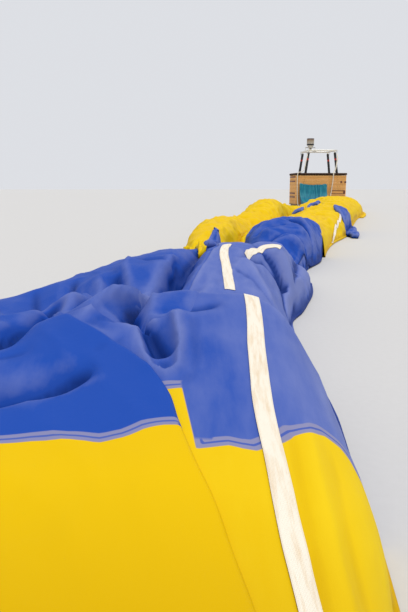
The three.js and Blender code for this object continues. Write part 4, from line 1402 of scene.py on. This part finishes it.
def padded_rim():
    """The leather roll on the wall, drawn in by a lace every hand's width, and its laces."""
    half = (RIM_BOX[1][0] - RIM_RADIUS, RIM_BOX[1][1] - RIM_RADIUS)
    holder, around = wall_curve(half, WALL_CORNER, RIM_HEIGHT)
    laces = round(around / LACE_PITCH)
    pitch = around / laces
    roll = start_tube(20, RIM_RADIUS - 0.0045, pitch, along_x=True)
    cut_rings(roll, 0, [pitch * step / 8.0 for step in range(1, 8)])
    for step in range(9):
        place = pitch * step / 8.0
        size = 0.93 + 0.07 * math.sin(math.pi * step / 8.0) ** 0.5
        with ring_edited(roll, 0, place):
            bpy.ops.transform.resize(value=(1.0, size, size), center_override=(place, 0.0, 0.0))
    array(roll, laces, (pitch, 0.0, 0.0), True)
    run_round(roll, holder)
    apply_all(roll)
    with all_edited(roll):
        bpy.ops.mesh.remove_doubles(threshold=0.001)
        bpy.ops.mesh.normals_make_consistent(inside=False)
    swell(roll, 0.0042)
    settle(roll, "rim_roll", rim_finish(), nodes=("padded_rim",), smooth=None)

    clear_selection()
    bpy.ops.mesh.primitive_torus_add(
        major_radius=RIM_RADIUS - 0.0040, minor_radius=LACE_RADIUS, major_segments=20, minor_segments=6,
        location=(0.0, 0.0, 0.0), rotation=(0.0, math.pi / 2.0, 0.0),
    )
    lace = started()
    array(lace, laces, (pitch, 0.0, 0.0))
    run_round(lace, holder)
    apply_all(lace)
    settle(lace, "rim_laces", leather_finish("lace_leather", (0.16, 0.085, 0.045)))
    bpy.data.objects.remove(holder)


CLOTH_SETTINGS = (
    ("quality", 6), ("mass", 0.25), ("use_pressure", True), ("uniform_pressure_force", 3.0),
    ("tension_stiffness", 12.0), ("compression_stiffness", 12.0), ("bending_stiffness", 0.4),
)
CLOTH_FRAMES = 20


def number_rows(items, word):
    """The places or normals of a mesh's items, a row of three numbers each."""
    values = np.empty(len(items) * 3)
    items.foreach_get(word, values)
    return values.reshape(-1, 3)


def swell(piece, most):
    """Blow a soft piece up a little as cloth, no point further than most, and crease it a little."""
    points = number_rows(piece.data.vertices, "co")
    pick(piece)
    cloth = piece.modifiers.new("cloth", "CLOTH")
    for word, value in CLOTH_SETTINGS:
        setattr(cloth.settings, word, value)
    cloth.settings.effector_weights.gravity = 0.0
    cloth.point_cache.frame_start = 1
    cloth.point_cache.frame_end = CLOTH_FRAMES
    for number in range(1, CLOTH_FRAMES + 1):
        bpy.context.scene.frame_set(number)
    blown = piece.evaluated_get(bpy.context.evaluated_depsgraph_get()).to_mesh()
    step = number_rows(blown.vertices, "co") - points
    piece.modifiers.remove(cloth)
    bpy.context.scene.frame_set(1)
    reach = np.linalg.norm(step, axis=1, keepdims=True)
    points = points + step * np.minimum(1.0, most / np.maximum(reach, TINY))
    folds = creases(points, 0.05, 1.0, 0.0, 71) - 0.6
    points = points + number_rows(piece.data.vertex_normals, "vector") * (folds * 0.006)[:, None]
    piece.data.vertices.foreach_set("co", points.reshape(-1))
    piece.data.update()
    smoother = piece.modifiers.new("smoother", "SUBSURF")
    smoother.levels = 1
    smoother.render_levels = 1
    apply_all(piece)


UPRIGHT_FOOT = (0.6253, 0.5363, 0.627)
UPRIGHT_HEAD = (0.4625, 0.4865, 1.854)
SLEEVE_RADIUS = 0.0425
SLEEVE_CUTS = 64
SLEEVE_STRAPS = (0, 13, 26, 39, 52, 64)


def padded_upright():
    """One padded sleeve along Z from 0, drawn in by its straps."""
    length = math.dist(UPRIGHT_FOOT, UPRIGHT_HEAD)
    sleeve = start_tube(24, SLEEVE_RADIUS, length, ends="NGON")
    cut_rings(sleeve, 2, [length * step / SLEEVE_CUTS for step in range(1, SLEEVE_CUTS)])
    with part_edited(sleeve, "FACE", lambda normal: abs(normal.z) > 0.9):
        bpy.ops.mesh.inset(thickness=0.010)
    for step in SLEEVE_STRAPS:
        place = length * step / SLEEVE_CUTS
        with ring_edited(sleeve, 2, place):
            bpy.ops.transform.resize(value=(0.90, 0.90, 1.0), center_override=(0.0, 0.0, place))
    swell(sleeve, 0.0045)
    return sleeve


def stand_uprights():
    """A copy of the sleeve at each corner, leaning in from its foot to its head."""
    sleeve = padded_upright()
    finish = sleeve_finish()
    for corner, x_sign, y_sign in sorted(CORNERS, key=lambda row: row[1]):
        foot, head = (Vector((x * x_sign, y * y_sign, z)) for x, y, z in (UPRIGHT_FOOT, UPRIGHT_HEAD))
        copy = add_object(f"sleeve_{corner}", sleeve.data.copy())
        copy.location = foot
        copy.rotation_mode = "QUATERNION"
        copy.rotation_quaternion = (head - foot).to_track_quat("Z", "Y")
        settle(copy, f"sleeve_{corner}", finish, nodes=(f"upright_{corner}",), smooth=None)
    bpy.data.objects.remove(sleeve)


def turned(profile, place, sides, closed=False):
    """A round piece drawn up from a circle ring by ring; the profile is radius and height at each ring."""
    clear_selection()
    radius, height = profile[0]
    x, y, z = place
    bpy.ops.mesh.primitive_circle_add(vertices=sides, radius=radius, location=(x, y, z + height),
                                      fill_type="NOTHING" if closed else "NGON")
    piece = started()
    bpy.ops.object.mode_set(mode="EDIT")
    bpy.ops.mesh.select_mode(type="EDGE")
    bpy.ops.mesh.select_all(action="SELECT")
    for next_radius, next_height in profile[1:]:
        bpy.ops.mesh.extrude_edges_move(TRANSFORM_OT_translate={"value": (0.0, 0.0, next_height - height)})
        factor = next_radius / radius
        bpy.ops.transform.resize(value=(factor, factor, 1.0), center_override=(x, y, z + next_height))
        radius, height = next_radius, next_height
    if not closed:
        bpy.ops.mesh.edge_face_add()
    bpy.ops.object.mode_set(mode="OBJECT")
    if closed:
        with all_edited(piece):
            bpy.ops.mesh.remove_doubles(threshold=0.00002)
    return piece


PIVOT = (-0.3, 0.0, 2.05)
CAN_PROFILE = (
    (0.112, 0.1203), (0.1285, 0.1203), (0.1300, 0.123), (0.1300, 0.140), (0.1270, 0.143), (0.1270, 0.286),
    (0.1300, 0.289), (0.1300, 0.3075), (0.1290, 0.3098), (0.1265, 0.3098), (0.1252, 0.3075), (0.1245, 0.289),
    (0.1235, 0.286), (0.1235, 0.146), (0.1200, 0.133), (0.112, 0.1203),
)
COLLAR_PROFILE = (
    (0.105, 0.0703), (0.1235, 0.0703), (0.1262, 0.073), (0.1270, 0.0775), (0.1270, 0.113), (0.1262, 0.1175),
    (0.1235, 0.1200), (0.105, 0.1200), (0.105, 0.0703),
)


def dress_burner():
    can = turned(CAN_PROFILE, PIVOT, 64, closed=True)
    settle(can, "can_shell", heated_steel_finish(), "burner", ("burner_can",))
    collar = turned(COLLAR_PROFILE, PIVOT, 64, closed=True)
    settle(collar, "collar_ring", black_metal, "burner", ("burner_collar",))


def strap_box(size, place, bevel=0.0015):
    clear_selection()
    bpy.ops.mesh.primitive_cube_add(size=1.0, location=place)
    bpy.context.object.scale = size
    strap = started()
    with all_edited(strap):
        bpy.ops.mesh.bevel(offset=bevel, segments=2, affect="EDGES")
    return strap


def join(pieces):
    pick(pieces[0])
    for piece in pieces[1:]:
        piece.select_set(True)
    bpy.ops.object.join()
    return bpy.context.object


END_STRAPS = (("lowest", 0.32), ("low", 0.45), ("high", 0.87), ("highest", 1.02))
HOLE_LEFT, HOLE_RIGHT, HOLE_LOW, HOLE_HIGH = 0.345, 0.820, 0.438, 0.545
STRAP_SIZE = (0.005, 0.84, 0.044)
STRAP_END_SIZE = (0.009, 0.034, 0.056)
STRAP_END_REACH = 0.425
PATCH_SIZE = (0.062, 0.007, 0.062)
PATCHES = (("middle", 0.70, 0.842), ("right", 0.845, 0.835))
WALL_CLEARANCE = 0.0005


def leather_trim():
    """Straps that show on the end walls, the edge of the step hole and two patches."""
    for word, height in END_STRAPS:
        for side, x_sign in SIDES:
            x = x_sign * (WALL_BOX[1][0] + WALL_CLEARANCE)
            parts = [strap_box(STRAP_SIZE, (x, 0.0, height))]
            for y_sign in (-1, 1):
                end = (x - x_sign * 0.001, y_sign * STRAP_END_REACH, height)
                parts.append(strap_box(STRAP_END_SIZE, end, 0.002))
            settle(join(parts), f"end_strap_{word}_{side}", oxblood_leather)
    face = -WALL_BOX[1][1] - WALL_CLEARANCE
    middle, level = (HOLE_LEFT + HOLE_RIGHT) / 2.0, (HOLE_LOW + HOLE_HIGH) / 2.0
    parts = [strap_box(size, (x, face, z)) for size, x, z in (
        ((HOLE_RIGHT - HOLE_LEFT, 0.006, 0.018), middle, HOLE_LOW),
        ((HOLE_RIGHT - HOLE_LEFT, 0.006, 0.018), middle, HOLE_HIGH),
        ((0.018, 0.006, HOLE_HIGH - HOLE_LOW), HOLE_LEFT, level),
        ((0.060, 0.007, HOLE_HIGH - HOLE_LOW + 0.02), HOLE_RIGHT, level),
    )]
    settle(join(parts), "step_edge", oxblood_leather)
    for word, x, z in PATCHES:
        patch = strap_box(PATCH_SIZE, (x, face, z), 0.0025)
        settle(patch, f"patch_{word}", oxblood_leather)


CYLINDER_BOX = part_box("fuel_cylinder_near_right")
CYLINDER_RADIUS = (CYLINDER_BOX[1][0] - CYLINDER_BOX[0][0]) / 2.0
CYLINDER_X = (CYLINDER_BOX[0][0] + CYLINDER_BOX[1][0]) / 2.0
CYLINDER_Y = abs(CYLINDER_BOX[0][1] + CYLINDER_BOX[1][1]) / 2.0
# How far each ring is from the cylinder's radius, and its height
SHELL_PROFILE = (
    (-0.016, 0.000), (-0.012, 0.002), (-0.012, 0.030), (-0.022, 0.046), (-0.010, 0.062), (-0.002, 0.080),
    (0.0, 0.100), (0.0, 0.440), (0.0006, 0.442), (0.0006, 0.446), (0.0, 0.448), (0.0, 0.700), (-0.004, 0.724),
    (-0.018, 0.748), (-0.045, 0.768), (-0.060, 0.775), (-0.052, 0.780), (-0.050, 0.858), (-0.053, 0.860),
    (-0.056, 0.858), (-0.058, 0.782), (-0.080, 0.786),
)
# Radius and height of each ring
NECK_PROFILE = (
    (0.045, 0.790), (0.020, 0.790), (0.020, 0.812), (0.030, 0.814), (0.030, 0.838), (0.026, 0.842),
)
TAP_PROFILE = (
    (0.006, 0.842), (0.006, 0.848), (0.024, 0.849), (0.0275, 0.851), (0.0275, 0.856), (0.024, 0.858),
)


def dress_cylinders():
    profile = tuple((CYLINDER_RADIUS + offset, height) for offset, height in SHELL_PROFILE) + NECK_PROFILE
    for corner, x_sign, y_sign in CORNERS:
        middle = (x_sign * CYLINDER_X, y_sign * CYLINDER_Y, CYLINDER_BOX[0][2])
        settle(turned(profile, middle, 40), f"fuel_cylinder_shell_{corner}", brushed_aluminium,
               nodes=(f"fuel_cylinder_{corner}",))
        settle(turned(TAP_PROFILE, middle, 12), f"cylinder_tap_{corner}", black_metal)


BELTS = (("low", 0.45), ("high", 0.77))
BELT_WIDTH = 0.04
BELT_THICKNESS = 0.003
BELT_GAP = 0.0012


def dress_straps():
    """Two belts round each pair of cylinders."""
    for side, x_sign in SIDES:
        for word, height in BELTS:
            clear_selection()
            bpy.ops.mesh.primitive_circle_add(
                vertices=48, radius=CYLINDER_RADIUS + BELT_GAP, fill_type="NOTHING",
                location=(x_sign * CYLINDER_X, 0.0, height - BELT_WIDTH / 2.0),
            )
            belt = started()
            for y_sign in (-1, 1):
                with part_edited(belt, "VERT", lambda spot: spot.y * y_sign > SAME_PLACE):
                    bpy.ops.transform.translate(value=(0.0, y_sign * CYLINDER_Y, 0.0))
            with all_edited(belt):
                bpy.ops.mesh.extrude_edges_move(TRANSFORM_OT_translate={"value": (0.0, 0.0, BELT_WIDTH)})
            wall = belt.modifiers.new("wall", "SOLIDIFY")
            wall.thickness = BELT_THICKNESS
            wall.offset = 1.0
            apply_all(belt)
            settle(belt, f"cylinder_belt_{word}_{side}", oxblood_leather)


woven_wall()
padded_rim()
stand_uprights()
dress_burner()
leather_trim()
dress_cylinders()
dress_straps()


# Floor, light and background

def add_stage():
    bpy.ops.mesh.primitive_plane_add(size=400.0, location=(0.0, 0.0, 0.0))
    floor = bpy.context.object
    floor.name = "floor"
    floor.data.materials.append(floor_finish())
    world = bpy.data.worlds.new("soft_light")
    bpy.context.scene.world = world
    world.use_nodes = True
    background = world.node_tree.nodes["Background"]
    background.inputs["Color"].default_value = (0.93, 0.95, 1.0, 1.0)
    background.inputs["Strength"].default_value = 0.78
    sun = bpy.data.lights.new("soft_sun", "SUN")
    sun.energy = 2.0
    sun.angle = math.radians(30.0)
    sun.color = (1.0, 0.985, 0.96)
    lamp = add_object("soft_sun", sun)
    lamp.rotation_euler = (math.radians(14.0), math.radians(10.0), 0.0)
    bpy.context.scene.view_settings.view_transform = "Standard"


add_stage()
